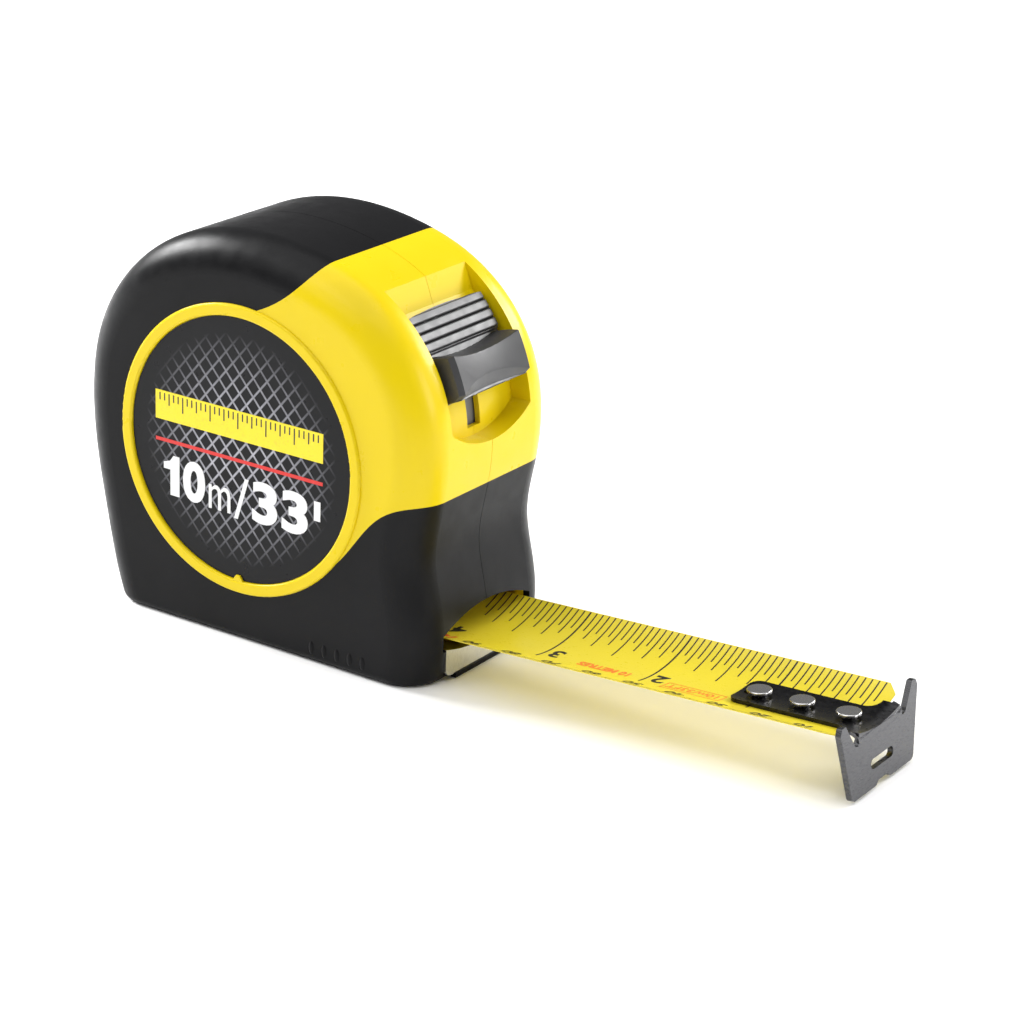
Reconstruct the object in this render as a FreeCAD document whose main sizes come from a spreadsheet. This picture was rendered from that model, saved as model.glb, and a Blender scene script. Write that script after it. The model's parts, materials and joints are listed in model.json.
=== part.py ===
import FreeCAD, Part
import Sketcher
import math
import os
from FreeCAD import Placement, Rotation, Vector

# Pocket tape measure, 33 ft / 10 m class, with a 1 1/4 inch wide curved blade.
# Frame: millimetres, +X out of the blade mouth, +Z up, labels on the -Y and +Y sides.
# The origin lies on the flat base, straight below the axis of the blade spool.

doc = FreeCAD.newDocument("tape_measure")
sheet = doc.addObject("Spreadsheet::Sheet", "Dimensions")

# Driving dimensions, in millimetres and degrees.
DIMENSIONS = [
    ("side_half_width", 24.4, "case side plane from the parting plane"),
    ("rim_radius", 8.5, "rounding of the case rim"),
    ("base_radius", 1.8, "rounding round the base"),
    ("skin", 1.6, "rubber overmould thickness"),
    ("wall", 2.0, "plastic shell thickness"),
    ("floor_skin", 0.8, "rubber thickness under the base"),
    ("floor_top", 2.0, "inside floor of the case above the base plane"),
    ("seam_gap", 0.06, "half of the gap between the two case halves"),
    ("spool_height", 43.5, "height of the spool axis"),
    ("ring_radius", 32.5, "outer radius of the raised label ring"),
    ("ring_proud", 0.6, "height of the label ring above the case side"),
    ("label_radius", 29.6, "label disc radius"),
    ("label_depth", 0.6, "depth of the label recess below the case side"),
    ("label_thickness", 0.5, "label disc thickness"),
    ("post_radius", 5.0, "centre post radius"),
    ("post_half_length", 20.7, "centre post half length"),
    ("post_boss_radius", 8.5, "shell boss round the centre post"),
    ("post_boss_face", 18.2, "inner face of the shell boss from the parting plane"),
    ("shaft_gap", 0.06, "radial running clearance of shaft fits"),
    ("liner_radius", 30.5, "side liner disc radius"),
    ("liner_inner_radius", 9.0, "side liner hole radius"),
    ("liner_face", 16.6, "inner face of a side liner from the parting plane"),
    ("liner_thickness", 0.8, "side liner thickness"),
    ("drum_radius", 15.0, "spring drum outer radius"),
    ("drum_wall", 1.5, "spring drum wall thickness"),
    ("drum_half_width", 16.2, "spring drum half width"),
    ("drum_web", 1.4, "spring drum end web thickness"),
    ("coil_radius", 27.6, "wound blade outer radius"),
    ("coil_half_width", 16.0, "wound blade half width"),
    ("spring_half_width", 13.6, "mainspring half width"),
    ("spring_thickness", 0.35, "mainspring strip thickness"),
    ("spring_turns", 7, "mainspring turns shown"),
    ("blade_half_width", 14.8, "half chord of the curved blade"),
    ("blade_sag", 3.4, "depth of the blade's cross curve"),
    ("blade_thickness", 0.2, "coated blade thickness"),
    ("blade_rise", 3.0, "angle of the blade above the base plane"),
    ("mouth_front", 48.4, "front of the case at the mouth"),
    ("mouth_edge_height", 10.2, "height of the blade edges at the mouth"),
    ("stand_out", 93.7, "blade length from the mouth to the hook's inner face"),
    ("blade_joint", 12.0, "start of the straight blade outside the mouth"),
    ("tail_length", 40.0, "blade length between the straight run and the coil"),
    ("hook_play", 1.3, "true-zero travel of the hook"),
    ("hook_thickness", 1.3, "hook plate thickness"),
    ("hook_lean", 5.0, "outward lean of the hook plate"),
    ("arm_thickness", 0.8, "hook arm thickness"),
    ("arm_gap", 0.1, "gap between hook arm and blade"),
    ("arm_length", 30.6, "hook arm length"),
    ("arm_half_width", 5.6, "hook arm half width"),
    ("rivet_radius", 2.65, "rivet head radius"),
    ("rivet_neck", 0.75, "height of a rivet's neck between the arm and its head"),
    ("rivet_shank_radius", 1.1, "rivet shank radius"),
    ("mouth_half_width", 16.2, "mouth half width"),
    ("mouth_side_height", 10.9, "mouth height at its sides"),
    ("mouth_top_height", 14.4, "mouth height at the middle of its arch"),
    ("lip_height", 5.5, "wear plate height at the middle of the mouth"),
    ("lip_half_width", 15.4, "wear plate half width"),
    ("track_x", 6.0, "X of the lock track's centre of curvature"),
    ("track_z", 50.0, "Z of the lock track's centre of curvature"),
    ("track_floor_radius", 37.7, "radius of the button recess floor"),
    ("track_half_width", 14.4, "button recess half width"),
    ("tub_wall", 1.3, "wall under the button recess"),
    ("button_half_width", 13.9, "lock button half width"),
    ("slider_radius", 36.0, "outer radius of the lock slider"),
    ("slider_thickness", 2.6, "lock slider thickness"),
    ("slider_half_width", 5.8, "lock slider half width"),
    ("foot_half_width", 9.0, "half width over the two prongs of the brake foot"),
    ("foot_gap_half_width", 6.2, "half gap between the prongs, which straddle the hook arm"),
    ("lock_travel", 7.0, "lock button travel in degrees about the track centre"),
    ("foot_radius", 48.2, "reach of the lock's brake foot"),
    ("screw_head_radius", 2.6, "case screw head radius"),
    ("screw_shank_radius", 1.25, "case screw shank radius"),
    ("screw_boss_radius", 2.9, "case screw boss radius"),
    ("clip_half_width", 9.0, "belt clip half width"),
    ("clip_thickness", 1.0, "belt clip sheet thickness"),
    ("clip_stand_off", 6.2, "gap between belt clip and case side"),
    ("clip_screw_height", 64.5, "height of the belt clip screw"),
]
for row, (alias, value, meaning) in enumerate(DIMENSIONS, start=1):
    sheet.set(f"A{row}", meaning)
    sheet.set(f"B{row}", str(value))
    sheet.setAlias(f"B{row}", alias)
doc.recompute()


def size(alias):
    """Value of a driving dimension."""
    return float(sheet.get(alias))


def bound(text):
    """Expression text with every dimension name pointed at the sheet."""
    words = text.split()
    return " ".join("Dimensions." + w if w[0].isalpha() else w for w in words)


SPOOL = Vector(0, 0, size("spool_height"))
TRACK = Vector(size("track_x"), 0, size("track_z"))
SIDE = size("side_half_width")
SHELL_INSET = size("skin") + size("wall")
OUTSIDE = 200.0      # larger than the whole object, for cutting half spaces
SUBPARTS = []


def keep(item):
    """Register a finished document object as a sub-part named by its Label."""
    SUBPARTS.append(item)
    return item


def feature(label, shape, placement=Placement()):
    """Sub-part whose form fits neither a sketched body nor a primitive."""
    item = doc.addObject("Part::Feature", label)
    item.Label = label
    item.Shape = shape
    item.Placement = placement
    return keep(item)


# ---------------------------------------------------------------- sketched bodies

def new_body(label):
    body = doc.addObject("PartDesign::Body", label)
    body.Label = label
    return body


def sketch_on(body, name, role, offset="0"):
    """Sketch on one of the body's origin planes, lifted along the plane's normal."""
    plane = next(f for f in body.Origin.OriginFeatures if f.Role == role)
    sketch = body.newObject("Sketcher::SketchObject", name)
    sketch.AttachmentSupport = [(plane, "")]
    sketch.MapMode = "FlatFace"
    sketch.setExpression(".AttachmentOffset.Base.z", bound(offset))
    return sketch


def add_circle(sketch, radius, height):
    """Circle centred on the sketch's vertical axis, with its radius and height bound to the sheet.
    It is drawn small and low first; the two bound constraints then size and lift it."""
    first_radius = 1.0 / (1 + len(sketch.Geometry))
    first_height = 40.0
    circle = Part.Circle(Vector(0, first_height, 0), Vector(0, 0, 1), first_radius)
    ring = sketch.addGeometry(circle, False)
    sketch.addConstraint(Sketcher.Constraint("PointOnObject", ring, 3, -2))
    number = sketch.addConstraint(Sketcher.Constraint("Radius", ring, first_radius))
    sketch.setExpression(f"Constraints[{number}]", bound(radius))
    number = sketch.addConstraint(Sketcher.Constraint("DistanceY", -1, 1, ring, 3, first_height))
    sketch.setExpression(f"Constraints[{number}]", bound(height))


def draw_closed(sketch, edges):
    """Add the edges of a closed outline and pin them where they are."""
    for edge in edges:
        number = sketch.addGeometry(edge, False)
        sketch.addConstraint(Sketcher.Constraint("Block", number))


def pad(body, sketch, length, name):
    item = body.newObject("PartDesign::Pad", name)
    item.Profile = sketch
    item.setExpression("Length", bound(length))
    return item


def pocket(body, sketch, length, name):
    """Cut against the sketch's normal."""
    item = body.newObject("PartDesign::Pocket", name)
    item.Profile = sketch
    item.setExpression("Length", bound(length))
    return item


def disc(label, radius, far_face, length, bore=None, hole=None):
    """Round piece on the spool axis: from far_face it runs length towards -Y.
    hole is the radius and the height of a second, off-centre hole."""
    body = new_body(label)
    section = sketch_on(body, label + "_section", "XZ_Plane", f"-1 * ( {far_face} )")
    add_circle(section, radius, "spool_height")
    if bore:
        add_circle(section, bore, "spool_height")
    if hole:
        add_circle(section, hole[0], hole[1])
    pad(body, section, length, label + "_pad")
    return keep(body)


# ---------------------------------------------------------------- solids by Part

def box(x0, x1, y0, y1, z0, z1):
    return Part.makeBox(x1 - x0, y1 - y0, z1 - z0, Vector(x0, y0, z0))


def rod(radius, x, z, y0, y1):
    """Cylinder along Y."""
    return Part.makeCylinder(radius, y1 - y0, Vector(x, y0, z), Vector(0, 1, 0))


def side_prism(wire, y0, y1):
    """Closed wire in the side view, extruded from y0 to y1."""
    face = Part.Face(wire)
    face.translate(Vector(0, y0, 0))
    return face.extrude(Vector(0, y1 - y0, 0))


def on_track(radius, degrees):
    """Point at a radius and angle about the lock track's centre, in the side view."""
    a = math.radians(degrees)
    return TRACK + Vector(radius * math.cos(a), 0, radius * math.sin(a))


def track_sector(r0, r1, low, high, half_width):
    """Curved slab of the lock track, between two radii and two angles."""
    middle = (low + high) / 2
    wire = Part.Wire([
        Part.Arc(on_track(r1, low), on_track(r1, middle), on_track(r1, high)).toShape(),
        Part.LineSegment(on_track(r1, high), on_track(r0, high)).toShape(),
        Part.Arc(on_track(r0, high), on_track(r0, middle), on_track(r0, low)).toShape(),
        Part.LineSegment(on_track(r0, low), on_track(r1, low)).toShape(),
    ])
    return side_prism(wire, -half_width, half_width)


def left_space():
    """Everything on the -Y side of the parting plane, clear of it by the seam gap."""
    return box(-OUTSIDE, OUTSIDE, -OUTSIDE, -size("seam_gap"), -OUTSIDE, OUTSIDE)


def above(height):
    return box(-OUTSIDE, OUTSIDE, -OUTSIDE, OUTSIDE, height, OUTSIDE)


# ---------------------------------------------------------------- the case envelope

# Side view of the case (X, Z). It runs on below the base plane, where it is cut off flat.
SIDE_VIEW = [
    (48.6, 6), (47.9, 17), (45.9, 28), (47.6, 40), (48.5, 51), (46.8, 62), (42.4, 71.2),
    (35.6, 78.8), (26.5, 84.6), (15, 88.4), (1, 90.2), (-13, 88.8), (-26, 83.6), (-36.5, 74.6),
    (-43.4, 62), (-45.6, 48), (-44.6, 33), (-41.8, 18), (-37.8, 2), (-30, -12), (-14, -22),
    (8, -26), (30, -22), (43, -11),
]


def offset_points(points, inset):
    """Closed outline moved inwards by inset along the normal at each point."""
    moved = []
    for i, (x, z) in enumerate(points):
        before, after = points[i - 1], points[(i + 1) % len(points)]
        dx, dz = after[0] - before[0], after[1] - before[1]
        run = math.hypot(dx, dz)
        moved.append((x - inset * dz / run, z + inset * dx / run))
    return moved


def envelope(inset, base, half_width):
    """Rounded block of the case, moved inwards by inset, with its flat base at height base."""
    outline = [Vector(x, 0, z) for x, z in offset_points(SIDE_VIEW, inset)]
    curve = Part.BSplineCurve()
    curve.interpolate(outline, PeriodicFlag=True)
    block = side_prism(Part.Wire([curve.toShape()]), -half_width, half_width)
    rims = [e for e in block.Edges if e.Length > half_width * 3]
    rounded = block.makeFillet(size("rim_radius") - 0.7 * inset, rims)
    return rounded.common(above(base))


def base_edges(shape, height):
    """Edges of the flat base."""
    return [e for e in shape.Edges if abs(e.BoundBox.ZMax - height) < 1e-3 and abs(e.BoundBox.ZMin - height) < 1e-3]


def spline(points):
    curve = Part.BSplineCurve()
    curve.interpolate([Vector(x, 0, z) for x, z in points])
    return curve.toShape()


def line(a, b):
    return Part.LineSegment(Vector(a[0], 0, a[1]), Vector(b[0], 0, b[1])).toShape()


def on_ring(degrees, radius=None):
    """Point of the label ring at an angle, as (X, Z)."""
    a = math.radians(degrees)
    r = radius or size("ring_radius")
    return (r * math.cos(a), SPOOL.z + r * math.sin(a))


def plastic_zone():
    """Side view of the bare plastic: the label ring and, joined to it, the upper front."""
    top, low = 82, -36          # angles where the rubber edge leaves the ring
    over = [on_ring(top), (9.5, 78.3), (14.2, 81.9), (18.2, 86.6), (21.5, 100)]
    under = [(75, 41.2), (48, 41), (42.4, 40.2), (36.6, 36.8), (31.6, 31), on_ring(low)]
    back = Part.Arc(Vector(on_ring(low)[0], 0, on_ring(low)[1]), Vector(-size("ring_radius"), 0, SPOOL.z),
                    Vector(on_ring(top)[0], 0, on_ring(top)[1])).toShape()
    wire = Part.Wire([spline(over), line(over[-1], (75, 100)), line((75, 100), under[0]),
                      spline(under), back])
    return side_prism(wire, -OUTSIDE, OUTSIDE)


def ring(inner, outer_radius, y0, y1, x=0.0, z=None):
    """Tube along Y, by default on the spool axis."""
    height = SPOOL.z if z is None else z
    return rod(outer_radius, x, height, y0, y1).cut(rod(inner, x, height, y0 - 1, y1 + 1))


def cross_section(points_low, points_high, x0, x1):
    """Front-view opening between a lower and an upper three-point arc, from x0 to x1."""
    low = [Vector(x0, y, z) for y, z in points_low]
    high = [Vector(x0, y, z) for y, z in points_high]
    wire = Part.Wire([
        Part.Arc(*low).toShape(), Part.LineSegment(low[2], high[2]).toShape(),
        Part.Arc(high[2], high[1], high[0]).toShape(), Part.LineSegment(high[0], low[0]).toShape(),
    ])
    return Part.Face(wire).extrude(Vector(x1 - x0, 0, 0))


# ---------------------------------------------------------------- cuts shared by the case pieces

def lip_arc(half_width, lift=0.0):
    """Three points of the wear plate's upper edge, which follows the hollow of the blade."""
    edge = size("lip_height") + size("blade_sag") * 0.6 * (half_width / size("blade_half_width")) ** 2
    return [(-half_width, edge + lift), (0, size("lip_height") + lift), (half_width, edge + lift)]


FLANGE = 0.6                       # thickness of the wear plate's folded top
MOUTH_DEPTH = 10.0                 # how far the mouth cut reaches behind the front


def mouth_cut():
    half = size("mouth_half_width")
    arch = [(-half, size("mouth_side_height")), (0, size("mouth_top_height")), (half, size("mouth_side_height"))]
    front = size("mouth_front")
    return cross_section(lip_arc(half, -FLANGE), arch, front - MOUTH_DEPTH, front + MOUTH_DEPTH)


def wear_plate():
    """Bright plate under the blade: an upright face with its top folded back into the mouth."""
    half, front = size("lip_half_width"), size("mouth_front")
    bottom = 1.3
    arch = lip_arc(half)
    floor = [(-half, bottom), (0, bottom - 0.01), (half, bottom)]
    face = cross_section(floor, arch, front - 0.6, front + 0.6)
    corners = [e for e in face.Edges if abs(e.Length - 1.2) < 1e-3 and e.BoundBox.ZMax < bottom + 0.1]
    face = face.makeFillet(2.0, corners)
    fold = cross_section(lip_arc(half, -FLANGE), arch, front - 4.4, front - 0.5)
    return face.fuse(fold).removeSplitter()


def recess_cut():
    """Button recess: a curved floor, a ramp at its top and an arched lower end."""
    floor, ramp, lip, far = size("track_floor_radius"), 46.0, 54.5, 60.0
    low = -2.0
    wire = Part.Wire([
        Part.Arc(on_track(floor, low), on_track(floor, 20), on_track(floor, ramp)).toShape(),
        Part.LineSegment(on_track(floor, ramp), on_track(41.0, lip)).toShape(),
        Part.LineSegment(on_track(41.0, lip), on_track(far, lip)).toShape(),
        Part.Arc(on_track(far, lip), on_track(far, 20), on_track(far, low)).toShape(),
        Part.LineSegment(on_track(far, low), on_track(floor, low)).toShape(),
    ])
    half = size("track_half_width")
    lowest, sag = TRACK.z + 0.7, 4.5          # lower end on the middle, and how far its corners are higher
    radius = (half ** 2 + sag ** 2) / (2 * sag)
    arch = Part.makeCylinder(radius, 40, Vector(20, 0, lowest + radius), Vector(1, 0, 0))
    return side_prism(wire, -half, half).common(arch.fuse(above(lowest + radius * 0.6)))


def slot_cut():
    return track_sector(30, 45, 4, 44, size("slider_half_width") * 0.4)


SCREW_PLACES = [(-33.5, 21.0), (-25.0, 76.5), (21.0, 79.5), (39.0, 25.0)]
SCREW_HEAD_SEAT = 20.3             # inner face of a screw head from the parting plane
SCREW_HEAD_HEIGHT = 2.0
SCREW_REACH = 16.0


# ---------------------------------------------------------------- case halves

outer = envelope(0, 0.0, SIDE)
outer = outer.makeFillet(size("base_radius"), base_edges(outer, 0.0))
under_skin = envelope(size("skin"), size("floor_skin"), SIDE - size("skin"))
cavity = envelope(SHELL_INSET, size("floor_top"), SIDE - SHELL_INSET)
plastic = plastic_zone()
plate = wear_plate()
bumper = box(size("mouth_front") - 1.6, size("mouth_front") + 0.9, -12, 12, 0.25, 1.25)
front_cuts = mouth_cut().fuse(plate).fuse(bumper)

tub = track_sector(size("track_floor_radius") - size("tub_wall"), 40, -4, 58, size("track_half_width") + 1.3)
walls = outer.common(plastic).fuse(under_skin).cut(cavity)
walls = walls.fuse(tub.common(under_skin)).cut(recess_cut()).cut(slot_cut()).cut(front_cuts)
skin = outer.cut(under_skin).cut(plastic).cut(front_cuts)


def label_ring():
    """Raised rounded ring round the left label."""
    face = -SIDE - size("ring_proud")
    bead = ring(size("label_radius") + 0.15, size("ring_radius"), face, 1.0 - SIDE)
    rims = [e for e in bead.Edges if abs(e.BoundBox.YMax - face) < 1e-3]
    return bead.makeFillet(size("ring_proud") * 0.9, rims)


def left_blank():
    """Left shell before its own holes: wall, label ring, centre boss, liner rib and screw bosses."""
    inner_wall = SIDE - SHELL_INSET
    liner_back = size("liner_face") + size("liner_thickness")
    shell = walls.common(left_space()).fuse(label_ring())
    shell = shell.cut(rod(size("label_radius") + 0.15, 0, SPOOL.z, -SIDE - 5, size("label_depth") - SIDE))
    boss = ring(size("post_radius") + 0.03, size("post_boss_radius"), -inner_wall - 0.5,
                -size("post_boss_face"))
    rib = ring(22.5, 24.0, -inner_wall - 0.5, -liner_back - 0.02)
    shell = shell.fuse(boss).fuse(rib)
    shell = shell.cut(rod(size("post_radius") + 0.03, 0, SPOOL.z, -inner_wall, 0))
    for x, z in SCREW_PLACES:
        pillar = rod(size("screw_boss_radius"), x, z, -inner_wall - 0.8, -0.1)
        shell = shell.fuse(pillar.common(under_skin))
    return shell


def left_half():
    shell = left_blank()
    for x, z in SCREW_PLACES:
        shell = shell.cut(rod(size("screw_shank_radius") + 0.03, x, z, -SCREW_REACH - 1, 0))
    return shell


def mirrored(shape):
    """The same piece for the right side."""
    return shape.mirror(Vector(0, 0, 0), Vector(0, 1, 0))


def screw_wells(shape):
    """Clearance holes and head wells of the case screws, which go in from the right."""
    for x, z in SCREW_PLACES:
        shape = shape.cut(rod(1.6, x, z, 0, SIDE + 1))
        shape = shape.cut(rod(size("screw_head_radius") + 0.3, x, z, SCREW_HEAD_SEAT, SIDE + 1))
    return shape


def right_half():
    height = size("clip_screw_height")
    shell = screw_wells(mirrored(left_blank()))
    shell = shell.fuse(rod(3.4, 0, height, size("post_boss_face"), SIDE - SHELL_INSET + 0.5))
    return shell.cut(rod(1.53, 0, height, 0, SIDE + 1))


left_skin = skin.common(left_space())
feature("left_shell", left_half())
feature("right_shell", right_half())
feature("left_overmould", left_skin)
feature("right_overmould", screw_wells(mirrored(left_skin)))
feature("mouth_wear_plate", plate)
feature("front_bumper", bumper)

disc("left_label", "label_radius", "-1 * ( side_half_width - label_depth )", "label_thickness")
disc("right_label", "label_radius", "side_half_width - label_depth + label_thickness", "label_thickness",
     hole=("rivet_radius * 0.66", "clip_screw_height"))
disc("left_liner", "liner_radius", "-1 * liner_face", "liner_thickness", bore="liner_inner_radius")
disc("right_liner", "liner_radius", "liner_face + liner_thickness", "liner_thickness",
     bore="liner_inner_radius")


def case_screws():
    """Four self-tapping screws, driven from the right side."""
    screws = []
    for x, z in SCREW_PLACES:
        head = rod(size("screw_head_radius"), x, z, SCREW_HEAD_SEAT, SCREW_HEAD_SEAT + SCREW_HEAD_HEIGHT)
        top = SCREW_HEAD_SEAT + SCREW_HEAD_HEIGHT
        cross = box(x - 1.5, x + 1.5, top - 1.1, top, z - 0.3, z + 0.3)
        cross = cross.fuse(box(x - 0.3, x + 0.3, top - 1.1, top, z - 1.5, z + 1.5))
        shank = rod(size("screw_shank_radius"), x, z, -SCREW_REACH, SCREW_HEAD_SEAT)
        screws.append(head.fuse(shank).cut(cross).removeSplitter())
    return Part.makeCompound(screws)


feature("case_screws", case_screws())


# ---------------------------------------------------------------- spool, spring and coil

post = disc("hub_post", "post_radius", "post_half_length", "2 * post_half_length")
slit = sketch_on(post, "spring_slit", "XZ_Plane", "spring_half_width")
slit_half, slit_end = 0.4, size("post_radius") + 1
slit_corners = [Vector(0, SPOOL.z - slit_half, 0), Vector(slit_end, SPOOL.z - slit_half, 0),
                Vector(slit_end, SPOOL.z + slit_half, 0), Vector(0, SPOOL.z + slit_half, 0)]
draw_closed(slit, [Part.LineSegment(slit_corners[i - 1], slit_corners[i]) for i in range(4)])
pocket(post, slit, "2 * spring_half_width", "spring_slit_cut")

drum = disc("spool_drum", "drum_radius", "drum_half_width", "2 * drum_half_width",
            bore="post_radius + shaft_gap")
barrel = sketch_on(drum, "spring_barrel", "XZ_Plane", "drum_half_width")
add_circle(barrel, "drum_radius - drum_wall", "spool_height")
pocket(drum, barrel, "2 * drum_half_width - drum_web", "spring_barrel_cut")

disc("drum_cover", "drum_radius - drum_wall - 0.05", "-1 * ( drum_half_width - drum_web )", "drum_web",
     bore="post_radius + shaft_gap")
disc("blade_coil", "coil_radius", "coil_half_width", "2 * coil_half_width", bore="drum_radius + 0.02")


def mainspring():
    """Flat power spring: a strip wound in half turns from the post out to the drum wall."""
    thickness = size("spring_thickness")
    start = size("post_radius") + 0.2
    room = size("drum_radius") - size("drum_wall") - 0.3 - start - thickness
    half_turns = int(2 * size("spring_turns"))
    step = room / half_turns
    inner_side, outer_side = [], []
    for extra, edges in ((0.0, inner_side), (thickness, outer_side)):
        x, radius, way = start + extra, start + extra, 1
        for _ in range(half_turns):
            centre = x - way * (radius + step / 2)
            far = x - way * (2 * radius + step)
            top = Vector(centre, 0, SPOOL.z + way * (radius + step / 2))
            edges.append(Part.Arc(Vector(x, 0, SPOOL.z), top, Vector(far, 0, SPOOL.z)).toShape())
            x, radius, way = far, radius + step, -way
    ends = [Part.LineSegment(inner_side[i].Vertexes[j].Point, outer_side[i].Vertexes[j].Point).toShape()
            for i, j in ((0, 0), (-1, -1))]
    wire = Part.Wire(Part.__sortEdges__(inner_side + outer_side + ends))
    return side_prism(wire, -size("spring_half_width"), size("spring_half_width"))


feature("mainspring", mainspring())


# ---------------------------------------------------------------- lock

def lock_slider():
    """Curved brake lever behind the front wall: button stem at the top, forked brake foot at the bottom."""
    half, radius = size("slider_half_width"), size("slider_radius")
    inner = radius - size("slider_thickness")
    foot_angle, foot_half = -54.0, 1.4
    strip = track_sector(inner, radius, foot_angle - foot_half, 40, half)
    foot = track_sector(inner, size("foot_radius"), foot_angle - foot_half, foot_angle + foot_half,
                        size("foot_half_width"))
    fork = track_sector(radius, size("foot_radius") + 1, foot_angle - 2 * foot_half,
                        foot_angle + 2 * foot_half, size("foot_gap_half_width"))
    stem = track_sector(radius - 0.5, size("track_floor_radius") + 0.3, 29, 37, half * 0.36)
    return strip.cut(fork).fuse(foot.cut(fork)).fuse(stem).removeSplitter()


def lock_button():
    """Thumb button: a curved plate with cross ridges and a dished ledge to push on."""
    half = size("button_half_width")
    base = size("track_floor_radius") + 0.3
    deck = base + 1.4
    shape = track_sector(base, deck, 14.5, 44.5, half)
    for number in range(4):
        place = on_track(deck - 0.1, 42.8 - 3.2 * number)
        shape = shape.fuse(rod(0.95, place.x, place.z, -half + 0.8, half - 0.8))
    side_line = [(deck - 0.3, 30.5), (45.0, 27.6), (45.8, 25.0), (45.5, 18.5), (44.0, 16.4), (deck - 0.3, 14.9)]
    wire = Part.makePolygon([on_track(r, a) for r, a in side_line + side_line[:1]])
    ledge = side_prism(wire, -half + 1.5, half - 1.5)
    corners = [e for e in ledge.Edges if e.BoundBox.YLength > half]
    ledge = ledge.makeFillet(0.6, corners[1:5])
    dish_depth, dish_half, middle = 1.3, 9.5, math.radians(22)
    dish = (dish_half ** 2 + dish_depth ** 2) / (2 * dish_depth)
    along = Vector(-math.sin(middle), 0, math.cos(middle))
    centre = on_track(45.7 - dish_depth + dish, 22) - along * 20
    ledge = ledge.cut(Part.makeCylinder(dish, 40, centre, along))
    return shape.fuse(ledge).removeSplitter()


feature("lock_slider", lock_slider())
feature("lock_button", lock_button())


# ---------------------------------------------------------------- blade and hook
# They are drawn level, with X = 0 at the mouth and Z = 0 at the blade's edges, then tilted.

BLADE_FRAME = Placement(Vector(size("mouth_front"), 0, size("mouth_edge_height")),
                        Rotation(Vector(0, 1, 0), -size("blade_rise")))
BOW = (size("blade_half_width") ** 2 + size("blade_sag") ** 2) / (2 * size("blade_sag"))
BOW_HEIGHT = BOW - size("blade_sag")      # centre of the cross curve above the blade's edges
RIVET_PLACES = [5.6, 16.2, 26.1]          # behind the hook's inner face
BLADE_END_GAP = 1.6


def bow_point(radius, y):
    """Height of the cross curve at a distance from the middle."""
    return BOW_HEIGHT - math.sqrt(radius ** 2 - y ** 2)


def bow_strip(label, low_radius, high_radius, half_width, start, length):
    """Body whose section is a band of the blade's cross curve."""
    body = new_body(label)
    section = sketch_on(body, label + "_section", "YZ_Plane", start)
    low = [Vector(y, bow_point(low_radius, y), 0) for y in (-half_width, 0, half_width)]
    high = [Vector(y, bow_point(high_radius, y), 0) for y in (half_width, 0, -half_width)]
    draw_closed(section, [Part.Arc(*low), Part.LineSegment(low[2], high[0]),
                          Part.Arc(*high), Part.LineSegment(high[2], low[0])])
    pad(body, section, length, label + "_pad")
    body.Placement = BLADE_FRAME
    return body


def rivet_slots(sketch):
    """Slots that let the rivets travel with the hook."""
    radius, play = size("rivet_shank_radius") + 0.15, size("hook_play")
    for place in RIVET_PLACES:
        x1 = size("stand_out") - place
        x0 = x1 - play
        draw_closed(sketch, [
            Part.Arc(Vector(x0, radius, 0), Vector(x0 - radius, 0, 0), Vector(x0, -radius, 0)),
            Part.LineSegment(Vector(x0, -radius, 0), Vector(x1, -radius, 0)),
            Part.Arc(Vector(x1, -radius, 0), Vector(x1 + radius, 0, 0), Vector(x1, radius, 0)),
            Part.LineSegment(Vector(x1, radius, 0), Vector(x0, radius, 0)),
        ])


blade = bow_strip("blade", BOW + size("blade_thickness"), BOW, size("blade_half_width"),
                  "blade_joint", f"stand_out - blade_joint - {BLADE_END_GAP}")
slots = sketch_on(blade, "rivet_slots", "XY_Plane", "blade_sag")
rivet_slots(slots)
pocket(blade, slots, "4 * blade_sag", "rivet_slots_cut")
clips = sketch_on(blade, "end_corners", "XY_Plane", "blade_sag")
END, EDGE, CORNER = size("stand_out") - BLADE_END_GAP, size("blade_half_width"), 2.4
for way in (-1, 1):
    tips = [Vector(END - CORNER, way * (EDGE + 1), 0), Vector(END + 1, way * (EDGE + 1), 0),
            Vector(END + 1, way * (EDGE - CORNER - 1), 0)]
    draw_closed(clips, [Part.LineSegment(tips[i], tips[(i + 1) % 3]) for i in range(3)])
pocket(blade, clips, "4 * blade_sag", "end_corners_cut")
keep(blade)

keep(bow_strip("blade_tail", BOW + size("blade_thickness"), BOW, size("blade_half_width"),
               "blade_joint - tail_length", "tail_length - 0.02"))


def bow_band(low_radius, high_radius, half_width, x0, x1):
    """Same section as the strips, as a plain solid in the level frame."""
    low = [Vector(x0, y, bow_point(low_radius, y)) for y in (-half_width, 0, half_width)]
    high = [Vector(x0, y, bow_point(high_radius, y)) for y in (half_width, 0, -half_width)]
    wire = Part.Wire([Part.Arc(*low).toShape(), Part.LineSegment(low[2], high[0]).toShape(),
                      Part.Arc(*high).toShape(), Part.LineSegment(high[2], low[0]).toShape()])
    return Part.Face(wire).extrude(Vector(x1 - x0, 0, 0))


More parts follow.
